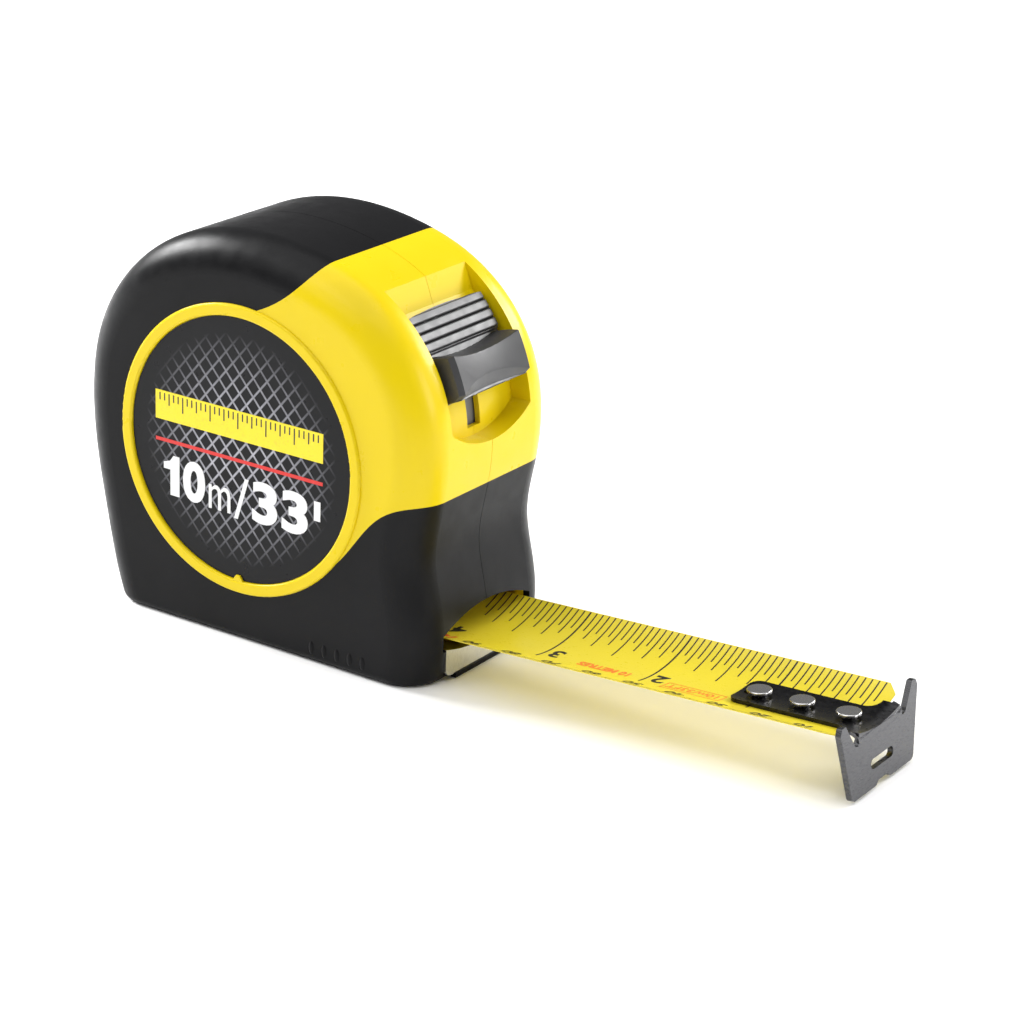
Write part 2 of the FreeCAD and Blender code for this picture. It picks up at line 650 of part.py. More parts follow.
def plate_outline(x):
    """Hook plate seen from the front: two horns, slightly tapered sides and a nail notch in the foot."""
    half = [(0, -13.7), (1.9, -13.7), (3.0, -14.6), (12.9, -14.6), (16.2, 0.4), (15.5, 1.8), (14.0, 1.8),
            (10.6, -3.6), (9.4, -3.9), (8.6, -3.0)]
    right = [Vector(x, y, z) for y, z in half]
    left = [Vector(x, -y, z) for y, z in half[:0:-1]]
    crown = Part.Arc(right[-1], Vector(x, 0, bow_point(BOW - size("arm_thickness"), 0)), left[0]).toShape()
    lines = [Part.LineSegment(a, b).toShape() for a, b in zip(right, right[1:])]
    lines += [Part.LineSegment(a, b).toShape() for a, b in zip(left, left[1:] + right[:1])]
    return Part.Wire(Part.__sortEdges__(lines + [crown]))


def plate():
    """The leaning plate with its nail slot and rounded corners."""
    face, thick = size("stand_out"), size("hook_thickness")
    solid = Part.Face(plate_outline(face)).extrude(Vector(thick, 0, 0))
    corners = [e for e in solid.Edges if abs(e.BoundBox.XLength - thick) < 1e-3 and e.BoundBox.Center.y ** 2 > 4]
    feet = [e for e in corners if e.BoundBox.Center.z < -14.5 and abs(e.BoundBox.Center.y) > 12]
    solid = solid.makeFillet(0.4, [e for e in corners if not any(e.isSame(f) for f in feet)])
    feet = [e for e in solid.Edges if abs(e.BoundBox.XLength - thick) < 1e-3
            and e.BoundBox.Center.z < -14.5 and abs(e.BoundBox.Center.y) > 12]
    solid = solid.makeFillet(1.4, feet)
    slot_half, slot_radius, slot_height = 3.6, 1.1, -9.7
    slot = box(face - 1, face + 3, -slot_half, slot_half, slot_height - slot_radius, slot_height + slot_radius)
    for way in (-1, 1):
        slot = slot.fuse(Part.makeCylinder(slot_radius, 4, Vector(face - 1, way * slot_half, slot_height),
                                           Vector(1, 0, 0)))
    solid = solid.cut(slot)
    solid.rotate(Vector(face, 0, 0), Vector(0, 1, 0), -size("hook_lean"))
    return solid


def arm_outline():
    """Arm seen from above: rounded at its rear end, flaring into the plate at the front."""
    face, half, rear = size("stand_out"), size("arm_half_width"), size("stand_out") - size("arm_length")
    shoulder, wide, flare, round_end = face - 5.6, 8.7, 3.1, 2.4
    turn = math.cos(math.radians(45))
    side = [
        Part.Arc(Vector(rear, half - round_end, 0),
                 Vector(rear + round_end * (1 - turn), half - round_end * (1 - turn), 0),
                 Vector(rear + round_end, half, 0)),
        Part.LineSegment(Vector(rear + round_end, half, 0), Vector(shoulder, half, 0)),
        Part.Arc(Vector(shoulder, half, 0), Vector(shoulder + flare * turn, half + flare * (1 - turn), 0),
                 Vector(shoulder + flare, wide, 0)),
        Part.LineSegment(Vector(shoulder + flare, wide, 0), Vector(face + 2, wide, 0)),
    ]
    edges = [part.toShape() for part in side]
    edges += [edge.mirror(Vector(0, 0, 0), Vector(0, 1, 0)) for edge in edges]
    edges.append(Part.LineSegment(Vector(face + 2, wide, 0), Vector(face + 2, -wide, 0)).toShape())
    edges.append(Part.LineSegment(Vector(rear, half - round_end, 0), Vector(rear, round_end - half, 0)).toShape())
    return Part.Wire(Part.__sortEdges__(edges))


def hook():
    """One stamping: a riveted arm on the blade, curved like it, and a plate bent down at its end."""
    face, length = size("stand_out"), size("arm_length")
    low = BOW - size("arm_gap")
    high = low - size("arm_thickness")
    arm = bow_band(low, high, 10.2, face - length - 1, face + size("hook_thickness"))
    below = Vector(0, 0, -8)
    outline = Part.Face(arm_outline())
    outline.translate(below)
    arm = arm.common(outline.extrude(Vector(0, 0, 16)))
    shape = plate().fuse(arm).cut(Part.makeCylinder(1.0, 10, Vector(face - length + 2.0, 0, -8)))
    for place in RIVET_PLACES:
        shape = shape.cut(Part.makeCylinder(size("rivet_shank_radius") + 0.02, 10, below + Vector(face - place, 0, 0)))
    return shape.removeSplitter()


def hook_rivets():
    """Three rivets: thin wide head on a neck above the arm, shank through the blade, upset end below it."""
    rivets = []
    radius, shank_radius = size("rivet_radius"), size("rivet_shank_radius")
    arm_top = bow_point(BOW - size("arm_gap") - size("arm_thickness"), 0)
    under = bow_point(BOW + size("blade_thickness") + size("arm_gap"), 0)
    neck_top, head_height = arm_top + size("rivet_neck"), 0.6
    for place in RIVET_PLACES:
        x = size("stand_out") - place
        head = Part.makeCylinder(radius, head_height, Vector(x, 0, neck_top))
        rim = [e for e in head.Edges if e.BoundBox.ZMin > neck_top + head_height / 2]
        head = head.makeFillet(0.3, rim)
        neck = Part.makeCone(1.5, 1.9, size("rivet_neck"), Vector(x, 0, arm_top + 0.05))
        shank = Part.makeCylinder(shank_radius, neck_top - under, Vector(x, 0, under - 0.1))
        upset = Part.makeCylinder(radius * 0.8, 0.6, Vector(x, 0, under - 0.6))
        rivets.append(head.fuse(neck).fuse(shank).fuse(upset).removeSplitter())
    return Part.makeCompound(rivets)


feature("hook", hook(), BLADE_FRAME)
feature("hook_rivets", hook_rivets(), BLADE_FRAME)


# ---------------------------------------------------------------- belt clip

CLIP_FACE = SIDE - size("label_depth") + size("label_thickness")
CLIP_FOOT_LOW, CLIP_FOOT_HIGH = 57.0, 71.0
CLIP_GAP = 0.1                     # between the foot and the strap, where the sheet flexes


def clip_profile(points):
    """Outline in the end view (Y, Z), extruded across the clip."""
    half = size("clip_half_width")
    path = [Vector(-half, y, z) for y, z in points]
    return Part.Face(Part.makePolygon(path + path[:1])).extrude(Vector(2 * half, 0, 0))


def clip_foot():
    t = size("clip_thickness")
    foot = box(-size("clip_half_width"), size("clip_half_width"), CLIP_FACE, CLIP_FACE + t,
               CLIP_FOOT_LOW, CLIP_FOOT_HIGH)
    corners = [e for e in foot.Edges if abs(e.Length - t) < 1e-3 and e.BoundBox.ZMin > CLIP_FOOT_HIGH - 1]
    foot = foot.makeFillet(4.0, corners)
    return foot.cut(rod(1.6, 0, size("clip_screw_height"), CLIP_FACE - 1, CLIP_FACE + 3))


def clip_strap():
    """Springy strap that stands off the case and flares at its lower end.
    Its upper end is rounded about the line that it flexes about."""
    t = size("clip_thickness")
    out = SIDE + size("clip_stand_off")
    top = CLIP_FOOT_LOW - CLIP_GAP - t / 2
    inner = [(CLIP_FACE, top), (out, 50), (out, 20), (out + 2.4, 13.5)]
    outer_side = [(out + 2.4 + t, 13.9), (out + t, 20.2), (out + t, 50.5), (CLIP_FACE + t, top)]
    strap = clip_profile(inner + outer_side)
    bends = [e for e in strap.Edges if e.BoundBox.XLength > 10 and 15 < e.BoundBox.ZMin < 52]
    strap = strap.makeFillet(1.5, bends)
    tips = [e for e in strap.Edges if e.BoundBox.XLength < 1e-3 and e.BoundBox.ZMax < 14
            and e.Length < 1.3 * t]
    strap = strap.makeFillet(5.0, tips)
    half = size("clip_half_width")
    bend = Part.makeCylinder(t / 2, 2 * half, Vector(-half, CLIP_FACE + t / 2, top), Vector(1, 0, 0))
    return strap.fuse(bend).removeSplitter()


def clip_screw():
    height, t = size("clip_screw_height"), size("clip_thickness")
    seat = CLIP_FACE + t
    head = rod(3.0, 0, height, seat, seat + 1.6)
    rim = [e for e in head.Edges if e.BoundBox.YMin > seat + 1.5]
    head = head.makeFillet(0.8, rim)
    cross = box(-1.8, 1.8, seat + 0.7, seat + 3, height - 0.35, height + 0.35)
    cross = cross.fuse(box(-0.35, 0.35, seat + 0.7, seat + 3, height - 1.8, height + 1.8))
    shank = rod(1.5, 0, height, size("post_boss_face") + 0.3, seat + 0.1)
    return head.fuse(shank).cut(cross).removeSplitter()


feature("clip_foot", clip_foot())
feature("belt_clip", clip_strap())
feature("clip_screw", clip_screw())


# ---------------------------------------------------------------- check and write

doc.recompute()
for item in doc.Objects:
    if {"Invalid", "Error"} & set(item.State):
        raise SystemExit(f"{item.Label} did not rebuild: {item.State}")
os.makedirs("parts", exist_ok=True)
for item in SUBPARTS:
    if item.Shape.isNull() or not item.Shape.isValid():
        raise SystemExit(f"{item.Label} has no valid shape")
    item.Shape.exportStep(f"parts/{item.Label}.step")
    print(f"{item.Label:18s} {item.Shape.Volume:10.1f} mm3  solids {len(item.Shape.Solids)}")
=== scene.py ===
"""Looks of a pocket tape measure: two-colour case, printed blade, hook, lock button and belt clip."""
import bmesh
import bpy
import json
import math
from mathutils import Matrix, Vector


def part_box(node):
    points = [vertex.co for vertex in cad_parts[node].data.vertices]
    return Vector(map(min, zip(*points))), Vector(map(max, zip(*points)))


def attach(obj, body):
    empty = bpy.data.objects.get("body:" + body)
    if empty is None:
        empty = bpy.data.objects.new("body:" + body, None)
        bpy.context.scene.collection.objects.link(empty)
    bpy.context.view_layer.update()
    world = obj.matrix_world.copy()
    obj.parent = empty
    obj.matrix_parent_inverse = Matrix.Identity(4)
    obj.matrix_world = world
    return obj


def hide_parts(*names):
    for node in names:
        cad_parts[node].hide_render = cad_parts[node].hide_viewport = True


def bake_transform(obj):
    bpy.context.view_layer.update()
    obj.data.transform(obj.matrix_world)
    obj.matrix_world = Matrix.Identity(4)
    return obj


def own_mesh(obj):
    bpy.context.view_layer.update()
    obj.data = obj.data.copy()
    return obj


MM = 0.001
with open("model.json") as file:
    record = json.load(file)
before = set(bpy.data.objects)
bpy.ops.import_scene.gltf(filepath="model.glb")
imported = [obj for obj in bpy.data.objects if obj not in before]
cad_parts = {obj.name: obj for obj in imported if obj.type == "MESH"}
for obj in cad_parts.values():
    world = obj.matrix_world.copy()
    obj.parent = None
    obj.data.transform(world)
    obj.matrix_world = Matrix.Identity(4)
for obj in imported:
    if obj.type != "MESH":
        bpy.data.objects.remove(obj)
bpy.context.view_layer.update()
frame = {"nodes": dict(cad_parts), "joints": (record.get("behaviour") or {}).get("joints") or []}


# ---------------------------------------------------------------- small helpers

def side(node, corner, axis):
    """One face of a CAD node's box in millimetres: corner 0 is the low one, axis 0 to 2 is X to Z."""
    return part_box(node)[corner][axis] / MM


def joint(name):
    return next(j for j in frame["joints"] if j["name"] == name)


def mesh_object(name, verts, faces, materials, body, smooth=True):
    """New piece from vertices in metres, riding on a body."""
    mesh = bpy.data.meshes.new(name)
    mesh.from_pydata([tuple(v) for v in verts], [], faces)
    mesh.validate()
    return finish_piece(name, mesh, materials, body, smooth)


def finish_piece(name, mesh, materials, body, smooth=True):
    for item in materials:
        mesh.materials.append(item)
    if smooth:
        mesh.polygons.foreach_set("use_smooth", [True] * len(mesh.polygons))
    piece = bpy.data.objects.new(name, mesh)
    bpy.context.scene.collection.objects.link(piece)
    if body:
        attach(piece, body)
    return piece


def sharp_by_angle(piece, degrees):
    """Keep shading smooth except across edges sharper than the angle."""
    mesh = piece.data
    bm = bmesh.new()
    bm.from_mesh(mesh)
    limit = math.radians(degrees)
    for edge in bm.edges:
        edge.smooth = len(edge.link_faces) == 2 and edge.calc_face_angle(0.0) < limit
    bm.to_mesh(mesh)
    bm.free()


def closed_sheet_faces(rows, columns):
    """Faces of two rows-by-columns grids, one after the other, joined round their rim."""
    under, faces = rows * columns, []
    for i in range(rows - 1):
        for j in range(columns - 1):
            a = i * columns + j
            faces.append((a, a + 1, a + columns + 1, a + columns))
            faces.append((under + a + columns, under + a + columns + 1, under + a + 1, under + a))
        for a in (i * columns, i * columns + columns - 1):
            faces.append((a, a + columns, under + a + columns, under + a))
    for j in range(columns - 1):
        for a in (j, (rows - 1) * columns + j):
            faces.append((a, a + 1, under + a + 1, under + a))
    return faces


# ---------------------------------------------------------------- materials

class Paint:
    """A node material under construction. Coordinates are the object's own, in millimetres."""

    def __init__(self, name, colour, roughness, metallic=0.0, specular=0.5, coat=0.0, coat_roughness=0.1):
        self.material = bpy.data.materials.new(name)
        self.material.use_nodes = True
        tree = self.material.node_tree
        self.nodes, self.links = tree.nodes, tree.links
        self.shader = self.nodes["Principled BSDF"]
        self.shader.inputs["Base Color"].default_value = (*colour, 1)
        self.shader.inputs["Roughness"].default_value = roughness
        self.shader.inputs["Metallic"].default_value = metallic
        self.shader.inputs["Specular IOR Level"].default_value = specular
        self.shader.inputs["Coat Weight"].default_value = coat
        self.shader.inputs["Coat Roughness"].default_value = coat_roughness
        place = self.nodes.new("ShaderNodeTexCoord")
        scale = self.nodes.new("ShaderNodeMapping")
        scale.inputs["Scale"].default_value = (1 / MM,) * 3
        self.links.new(place.outputs["Object"], scale.inputs["Vector"])
        self.place = scale.outputs["Vector"]
        self.height = None

    def noise(self, size, detail=4.0, stretch=(1, 1, 1)):
        """Noise whose features are about size millimetres across."""
        at = self.nodes.new("ShaderNodeMapping")
        at.inputs["Scale"].default_value = [s / size for s in stretch]
        self.links.new(self.place, at.inputs["Vector"])
        node = self.nodes.new("ShaderNodeTexNoise")
        node.inputs["Scale"].default_value = 1.0
        node.inputs["Detail"].default_value = detail
        self.links.new(at.outputs["Vector"], node.inputs["Vector"])
        return node.outputs["Fac"]

    def spread(self, value, low, high, to_low, to_high):
        node = self.nodes.new("ShaderNodeMapRange")
        for name, number in (("From Min", low), ("From Max", high), ("To Min", to_low), ("To Max", to_high)):
            node.inputs[name].default_value = number
        self.links.new(value, node.inputs["Value"])
        return node.outputs["Result"]

    def vary(self, noise, to_low, to_high):
        """Spread the range where noise mostly lies."""
        return self.spread(noise, 0.3, 0.7, to_low, to_high)

    def math(self, operation, first, second=None):
        node = self.nodes.new("ShaderNodeMath")
        node.operation = operation
        for socket, value in zip(node.inputs, (first, second)):
            if value is None:
                continue
            if isinstance(value, (int, float)):
                socket.default_value = value
            else:
                self.links.new(value, socket)
        return node.outputs[0]

    def mix(self, share, first, second):
        """Colour between first and second; each is a colour or another mix."""
        node = self.nodes.new("ShaderNodeMix")
        node.data_type = "RGBA"
        self.links.new(share, node.inputs["Factor"])
        for socket, value in ((node.inputs[6], first), (node.inputs[7], second)):
            if isinstance(value, tuple):
                socket.default_value = (*value, 1)
            else:
                self.links.new(value, socket)
        return node.outputs[2]

    def colour(self, output):
        self.links.new(output, self.shader.inputs["Base Color"])
        return self

    def roughness(self, output):
        self.links.new(output, self.shader.inputs["Roughness"])
        return self

    def bump(self, output, depth):
        """Bump of that depth in millimetres, laid over any bump so far."""
        node = self.nodes.new("ShaderNodeBump")
        node.inputs["Strength"].default_value = 1.0
        node.inputs["Distance"].default_value = depth * MM
        self.links.new(output, node.inputs["Height"])
        if self.height:
            self.links.new(self.height, node.inputs["Normal"])
        self.height = node.outputs["Normal"]
        self.links.new(self.height, self.shader.inputs["Normal"])
        return self

    def axes(self):
        split = self.nodes.new("ShaderNodeSeparateXYZ")
        self.links.new(self.place, split.inputs[0])
        return split.outputs


def scuffed(paint, colour, worn, amount, size=3.0):
    """Slight colour drift and fine scuffs, the same recipe at each material's own scale."""
    drift = paint.vary(paint.noise(size * 6, 3), 0, amount)
    scuff = paint.spread(paint.noise(size, 8, (1, 1, 3)), 0.62, 0.75, 0, amount)
    return paint.colour(paint.mix(paint.math("MAXIMUM", drift, scuff), colour, worn))


def yellow_plastic():
    """Glossy moulded case plastic with a slight orange peel."""
    fresh, worn = (0.78, 0.585, 0.001), (0.74, 0.54, 0.003)
    paint = Paint("yellow_plastic", fresh, 0.3, specular=0.25, coat=0.06, coat_roughness=0.1)
    scuffed(paint, fresh, worn, 0.2)
    paint.roughness(paint.vary(paint.noise(5, 6), 0.26, 0.4))
    return paint.bump(paint.noise(0.35, 3), 0.012).bump(paint.noise(14, 2), 0.1).material


def black_rubber(name="black_rubber", low=0.3, high=0.42):
    """Soft-touch rubber whose roughness runs from low to high."""
    fresh, worn = (0.004, 0.004, 0.0045), (0.008, 0.008, 0.009)
    paint = Paint(name, worn, 0.5, specular=0.13)
    scuffed(paint, fresh, worn, 0.8, 4.0)
    paint.roughness(paint.vary(paint.noise(4, 6), low, high))
    return paint.bump(paint.noise(0.22, 2), 0.02).bump(paint.noise(20, 2), 0.12).material


def satin_black(name):
    """Fine-textured black plastic with a satin sheen."""
    colour = (0.03, 0.03, 0.032)
    paint = Paint(name, colour, 0.4, specular=0.75)
    scuffed(paint, colour, tuple(1.5 * c for c in colour), 0.4, 2.0)
    paint.roughness(paint.vary(paint.noise(2.5, 6), 0.36, 0.46))
    return paint.bump(paint.noise(0.3, 3), 0.008).material


def metal(name, colour, low, high, grain=(1, 1, 12), grain_size=1.2):
    """Rolled sheet metal with a fine directional grain."""
    paint = Paint(name, colour, low, metallic=1.0)
    lines = paint.noise(grain_size, 5, grain)
    paint.colour(paint.mix(paint.vary(lines, 0, 1), colour, tuple(0.8 * c for c in colour)))
    paint.roughness(paint.vary(lines, low, high))
    return paint.bump(lines, 0.006).material


def nylon(name, colour):
    """Moulded nylon or plastic sheet, faintly mottled."""
    paint = Paint(name, colour, 0.45)
    scuffed(paint, colour, tuple(0.8 * c for c in colour), 0.5, 2.0)
    paint.roughness(paint.vary(paint.noise(3, 5), 0.4, 0.55))
    return paint.bump(paint.noise(0.5, 3), 0.02).material


def blade_lacquer():
    """Yellow film over the blade's steel, rubbed along its length."""
    fresh, worn = (0.86, 0.70, 0.025), (0.74, 0.60, 0.05)
    paint = Paint("blade_lacquer", (0.84, 0.68, 0.02), 0.3, coat=0.3, coat_roughness=0.2)
    scuffed(paint, fresh, worn, 0.35, 2.5)
    paint.roughness(paint.vary(paint.noise(1.5, 8, (1, 6, 6)), 0.26, 0.42))
    return paint.bump(paint.noise(0.8, 4, (1, 8, 8)), 0.004).material


def print_ink(name, colour):
    """Printed ink, slightly worn through."""
    paint = Paint(name, colour, 0.4)
    worn = tuple(0.75 * c + 0.02 for c in colour)
    paint.colour(paint.mix(paint.spread(paint.noise(0.6, 6), 0.55, 0.75, 0, 0.6), colour, worn))
    return paint.roughness(paint.vary(paint.noise(0.8, 4), 0.32, 0.5)).material


LATTICE_X, LATTICE_Z = 3.7, 4.3            # width and height of one diamond of the label's lattice
LATTICE_LINE = 0.11                        # half width of a lattice line, as a share of a diamond
LATTICE_FADE = 9.0, 26.0                   # radii between which the lattice fades away


def label_film():
    """Black film with a fine silver diamond lattice that fades out from the middle."""
    paint = Paint("label_film", (0.02, 0.02, 0.022), 0.35, specular=0.16)
    x, _, z = paint.axes()
    height = paint.math("SUBTRACT", z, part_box("left_label")[0].z / MM + LABEL_RADIUS)
    across = paint.math("DIVIDE", x, LATTICE_X)
    up = paint.math("DIVIDE", height, LATTICE_Z)
    lines = []
    for way in ("ADD", "SUBTRACT"):
        place = paint.math("FRACT", paint.math(way, across, up))
        off = paint.math("ABSOLUTE", paint.math("SUBTRACT", place, 0.5))
        lines.append(paint.spread(off, 0.5 - LATTICE_LINE, 0.5 - 0.4 * LATTICE_LINE, 0, 1))
    squares = paint.math("ADD", paint.math("MULTIPLY", x, x), paint.math("MULTIPLY", height, height))
    fade = paint.spread(paint.math("SQRT", squares), *LATTICE_FADE, 0.95, 0)
    speckle = paint.vary(paint.noise(1.6, 4), 0.65, 1)
    silver = paint.math("MULTIPLY", paint.math("MULTIPLY", paint.math("MAXIMUM", *lines), fade), speckle)
    film, foil = (0.008, 0.008, 0.009), (0.50, 0.50, 0.55)
    paint.colour(paint.mix(silver, film, foil))
    return paint.roughness(paint.vary(paint.noise(3, 5), 0.26, 0.4)).bump(silver, 0.01).material


def hook_steel():
    """Gunmetal steel hook whose arm is painted near black as a painted dark reflection, not as a finish of
    its own.
    """
    paint = Paint("hook_steel", (0.2, 0.2, 0.21), 0.3, metallic=1.0)
    x = paint.axes()[0]
    plate_back = side("hook", 1, 0) - PLATE_DEPTH
    # Painted dark reflection mask: 0 on the arm, which is painted near black, 1 on the gunmetal plate.
    plate_share = paint.spread(x, plate_back, plate_back + REFLECTION_FADE, 0, 1)
    grain = paint.noise(1.2, 6, (1, 1, 6))
    gun = paint.mix(paint.vary(grain, 0, 1), (0.085, 0.085, 0.09), (0.13, 0.13, 0.135))
    # Painted dark reflection: the arm is the same steel as the plate, painted near black where it reflects
    # darkness.
    black = paint.mix(paint.spread(grain, 0.4, 0.7, 0, 1), (0.02, 0.02, 0.022), (0.045, 0.045, 0.05))
    paint.colour(paint.mix(plate_share, black, gun))
    paint.roughness(paint.vary(grain, 0.24, 0.38))
    return paint.bump(grain, 0.01).material


LABEL_RADIUS = (side("left_label", 1, 0) - side("left_label", 0, 0)) / 2
PLATE_DEPTH = 4.6                          # how far behind its foremost point the hook's plate begins
REFLECTION_FADE = 1.5                           # length over which the arm's painted dark reflection gives way to the plate's gunmetal

YELLOW = yellow_plastic()
RUBBER = black_rubber()
BUMPER_RUBBER = black_rubber("bumper_rubber", 0.5, 0.65)
BUTTON_BLACK = satin_black("button_black")
LABEL = label_film()
LINER = nylon("liner_sheet", (0.75, 0.75, 0.72))
POST = nylon("post_nylon", (0.6, 0.6, 0.58))
DRUM = nylon("drum_nylon", (0.05, 0.05, 0.055))
BRIGHT = metal("bright_steel", (0.72, 0.72, 0.73), 0.12, 0.24, (1, 8, 1))
SCREW = metal("screw_steel", (0.35, 0.35, 0.36), 0.25, 0.4)
SPRING = metal("spring_steel", (0.32, 0.31, 0.33), 0.22, 0.35, (1, 12, 1))
RIVET = metal("rivet_nickel", (0.68, 0.67, 0.66), 0.2, 0.34, (1, 1, 1), 0.8)
CLIP = metal("clip_steel", (0.4, 0.4, 0.41), 0.22, 0.34, (8, 1, 1))
HOOK = hook_steel()
LACQUER = blade_lacquer()
INK = print_ink("ink_black", (0.012, 0.012, 0.012))
INK_RED = print_ink("ink_red", (0.62, 0.03, 0.015))
INK_ORANGE = print_ink("ink_orange", (0.85, 0.2, 0.02))
INK_WHITE = print_ink("ink_white", (0.85, 0.85, 0.85))
INK_YELLOW = print_ink("ink_yellow", (0.9, 0.72, 0.01))
INK_LINE = print_ink("ink_line", (0.7, 0.02, 0.015))

CAD_FINISH = {
    "left_shell": YELLOW, "right_shell": YELLOW,
    "left_overmould": RUBBER, "right_overmould": RUBBER,
    "front_bumper": BUMPER_RUBBER, "mouth_wear_plate": BRIGHT,
    "left_label": LABEL, "right_label": LABEL,
    "left_liner": LINER, "right_liner": LINER,
    "case_screws": SCREW, "clip_screw": SCREW,
    "hub_post": POST, "spool_drum": DRUM, "drum_cover": DRUM,
    "blade_coil": LACQUER, "mainspring": SPRING,
    "lock_slider": nylon("slider_grey", (0.2, 0.2, 0.21)), "lock_button": BUTTON_BLACK,
    "hook": HOOK, "hook_rivets": RIVET,
    "blade": LACQUER, "blade_tail": LACQUER, "clip_foot": CLIP, "belt_clip": CLIP,
}


def finish_cad_nodes():
    for name, piece in frame["nodes"].items():
        piece.data.materials.clear()
        piece.data.materials.append(CAD_FINISH[name])


# ---------------------------------------------------------------- blade

# The blade lies along the slide's axis. Its edges leave the mouth at this point, in millimetres.
MOUTH = Vector((48.4, 0, 10.2))
BLADE_AXIS = Vector(joint("blade_slide")["axis"]).normalized()
BLADE_UP = Vector((-BLADE_AXIS.z, 0, BLADE_AXIS.x))
HALF_WIDTH = side("blade", 1, 1)
SAG = 3.4                                  # depth of the blade's cross curve
BOW = (HALF_WIDTH ** 2 + SAG ** 2) / (2 * SAG)
THICKNESS = 0.2
ZERO = 93.7                                # hook's inner face, measured from the mouth
TAIL_START, STRIP_JOINT, STRIP_END = -28.0, 12.0, 92.1
TAIL_PRINT_START = -8.0                    # where the print on the tail begins
CORNER = 2.4                               # cut across the strip's end corners
INCH = 25.4
PRINT_LIFT, PRINT_THICKNESS = 0.035, 0.03  # top of the ink above the steel, and its thickness
PRINT_STEP = 1.0                           # longest flat piece of print across the cross curve
OFF_GRID = 0.01                            # keeps the cuts through lettering off its own vertices
MERGE = 1e-5                               # distance under which a letter's vertices are one


def blade_height(y):
    """Height of the blade's face over its edges, at y from the middle."""
    return BOW - SAG - math.sqrt(BOW ** 2 - y ** 2)


def on_blade(x, y, lift=0.0):
    """Point on the blade's face, x from the mouth and y from the middle, in metres."""
    height = blade_height(y) + lift
    return (MOUTH + BLADE_AXIS * x + Vector((0, y, 0)) + BLADE_UP * height) * MM


def strip_piece(name, node, start, end_at, rows, columns=48):
    """Curved steel strip with a thickness, standing for a CAD node."""
    verts = []
    for layer in (0.0, -THICKNESS):
        for i in range(rows + 1):
            for j in range(columns + 1):
                y = HALF_WIDTH * (2 * j / columns - 1)
                verts.append(on_blade(start + (end_at(y) - start) * i / rows, y, layer))
    faces = closed_sheet_faces(rows + 1, columns + 1)
    piece = mesh_object(name, verts, faces, [LACQUER], "blade")
    repair_normals(piece)
    sharp_by_angle(piece, 40)
    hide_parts(node)
    return piece


def repair_normals(piece):
    """Face every surface outward."""
    bm = bmesh.new()
    bm.from_mesh(piece.data)
    bmesh.ops.recalc_face_normals(bm, faces=bm.faces)
    bm.to_mesh(piece.data)
    bm.free()


def blade_end(y):
    """Where the strip ends, at y from the middle: its corners are cut off."""
    return STRIP_END - max(0.0, abs(y) - (HALF_WIDTH - CORNER))


class Print:
    """Thin ink slabs laid on the blade, gathered into one mesh."""

    def __init__(self):
        self.verts, self.faces = [], []

    def bar(self, x0, x1, y0, y1):
        """Ink rectangle that follows the cross curve."""
        steps = max(1, math.ceil(abs(y1 - y0) / PRINT_STEP))
        first = len(self.verts)
        for k in range(steps + 1):
            y = y0 + (y1 - y0) * k / steps
            self.verts += [on_blade(x0, y, PRINT_LIFT), on_blade(x1, y, PRINT_LIFT),
                           on_blade(x1, y, PRINT_LIFT - PRINT_THICKNESS),
                           on_blade(x0, y, PRINT_LIFT - PRINT_THICKNESS)]
        for k in range(steps):
            a = first + 4 * k
            for m in range(4):
                n = (m + 1) % 4
                self.faces.append((a + m, a + n, a + 4 + n, a + 4 + m))
        last = first + 4 * steps
        self.faces += [(first, first + 3, first + 2, first + 1), (last, last + 1, last + 2, last + 3)]

    def text(self, words, x, y, height, bold=0.0, length=None):
        """Words whose middle is at x, y, reading from the hook to the case."""
        mesh = text_mesh(words, height, bold, PRINT_THICKNESS)
        bm = bmesh.new()
        bm.from_mesh(mesh)
        if length:
            reach = max(v.co.x for v in bm.verts) - min(v.co.x for v in bm.verts)
            bmesh.ops.scale(bm, verts=bm.verts, vec=(length / reach, 1, 1))
        bmesh.ops.rotate(bm, verts=bm.verts, matrix=Matrix.Rotation(math.pi, 3, "Z"))
        top = max(abs(v.co.y) for v in bm.verts)
        for k in range(-int(top), int(top) + 1):
            everything = bm.verts[:] + bm.edges[:] + bm.faces[:]
            bmesh.ops.bisect_plane(bm, geom=everything, plane_co=(0, k + OFF_GRID, 0), plane_no=(0, 1, 0))
        first = len(self.verts)
        bm.verts.index_update()
        lift = PRINT_LIFT - PRINT_THICKNESS / 2
        self.verts += [on_blade(x + v.co.x, y + v.co.y, lift + v.co.z) for v in bm.verts]
        self.faces += [tuple(first + v.index for v in f.verts) for f in bm.faces]
        bm.free()

    def piece(self, name, ink):
        made = mesh_object(name, self.verts, self.faces, [ink], "blade", smooth=False)
        repair_normals(made)
        return made


def text_mesh(words, height, bold, thickness):
    """Mesh of a line of text, centred on the origin in the XY plane, in millimetres."""
    curve = bpy.data.curves.new("words", "FONT")
    curve.body = words
    curve.align_x, curve.align_y = "CENTER", "BOTTOM_BASELINE"
    cap_share = 0.73                       # cap height of the built-in font at size 1
    curve.size = height / cap_share
    curve.offset = bold
    curve.extrude = thickness / 2
    curve.resolution_u = 6
    holder = bpy.data.objects.new("words", curve)
    bpy.context.scene.collection.objects.link(holder)
    bpy.context.view_layer.update()
    mesh = bpy.data.meshes.new_from_object(holder.evaluated_get(bpy.context.evaluated_depsgraph_get()))
    bpy.data.objects.remove(holder)
    mesh.transform(Matrix.Translation((0, -height / 2, 0)))
    bm = bmesh.new()
    bm.from_mesh(mesh)
    bmesh.ops.remove_doubles(bm, verts=bm.verts, dist=MERGE)
    bm.to_mesh(mesh)
    bm.free()
    return mesh


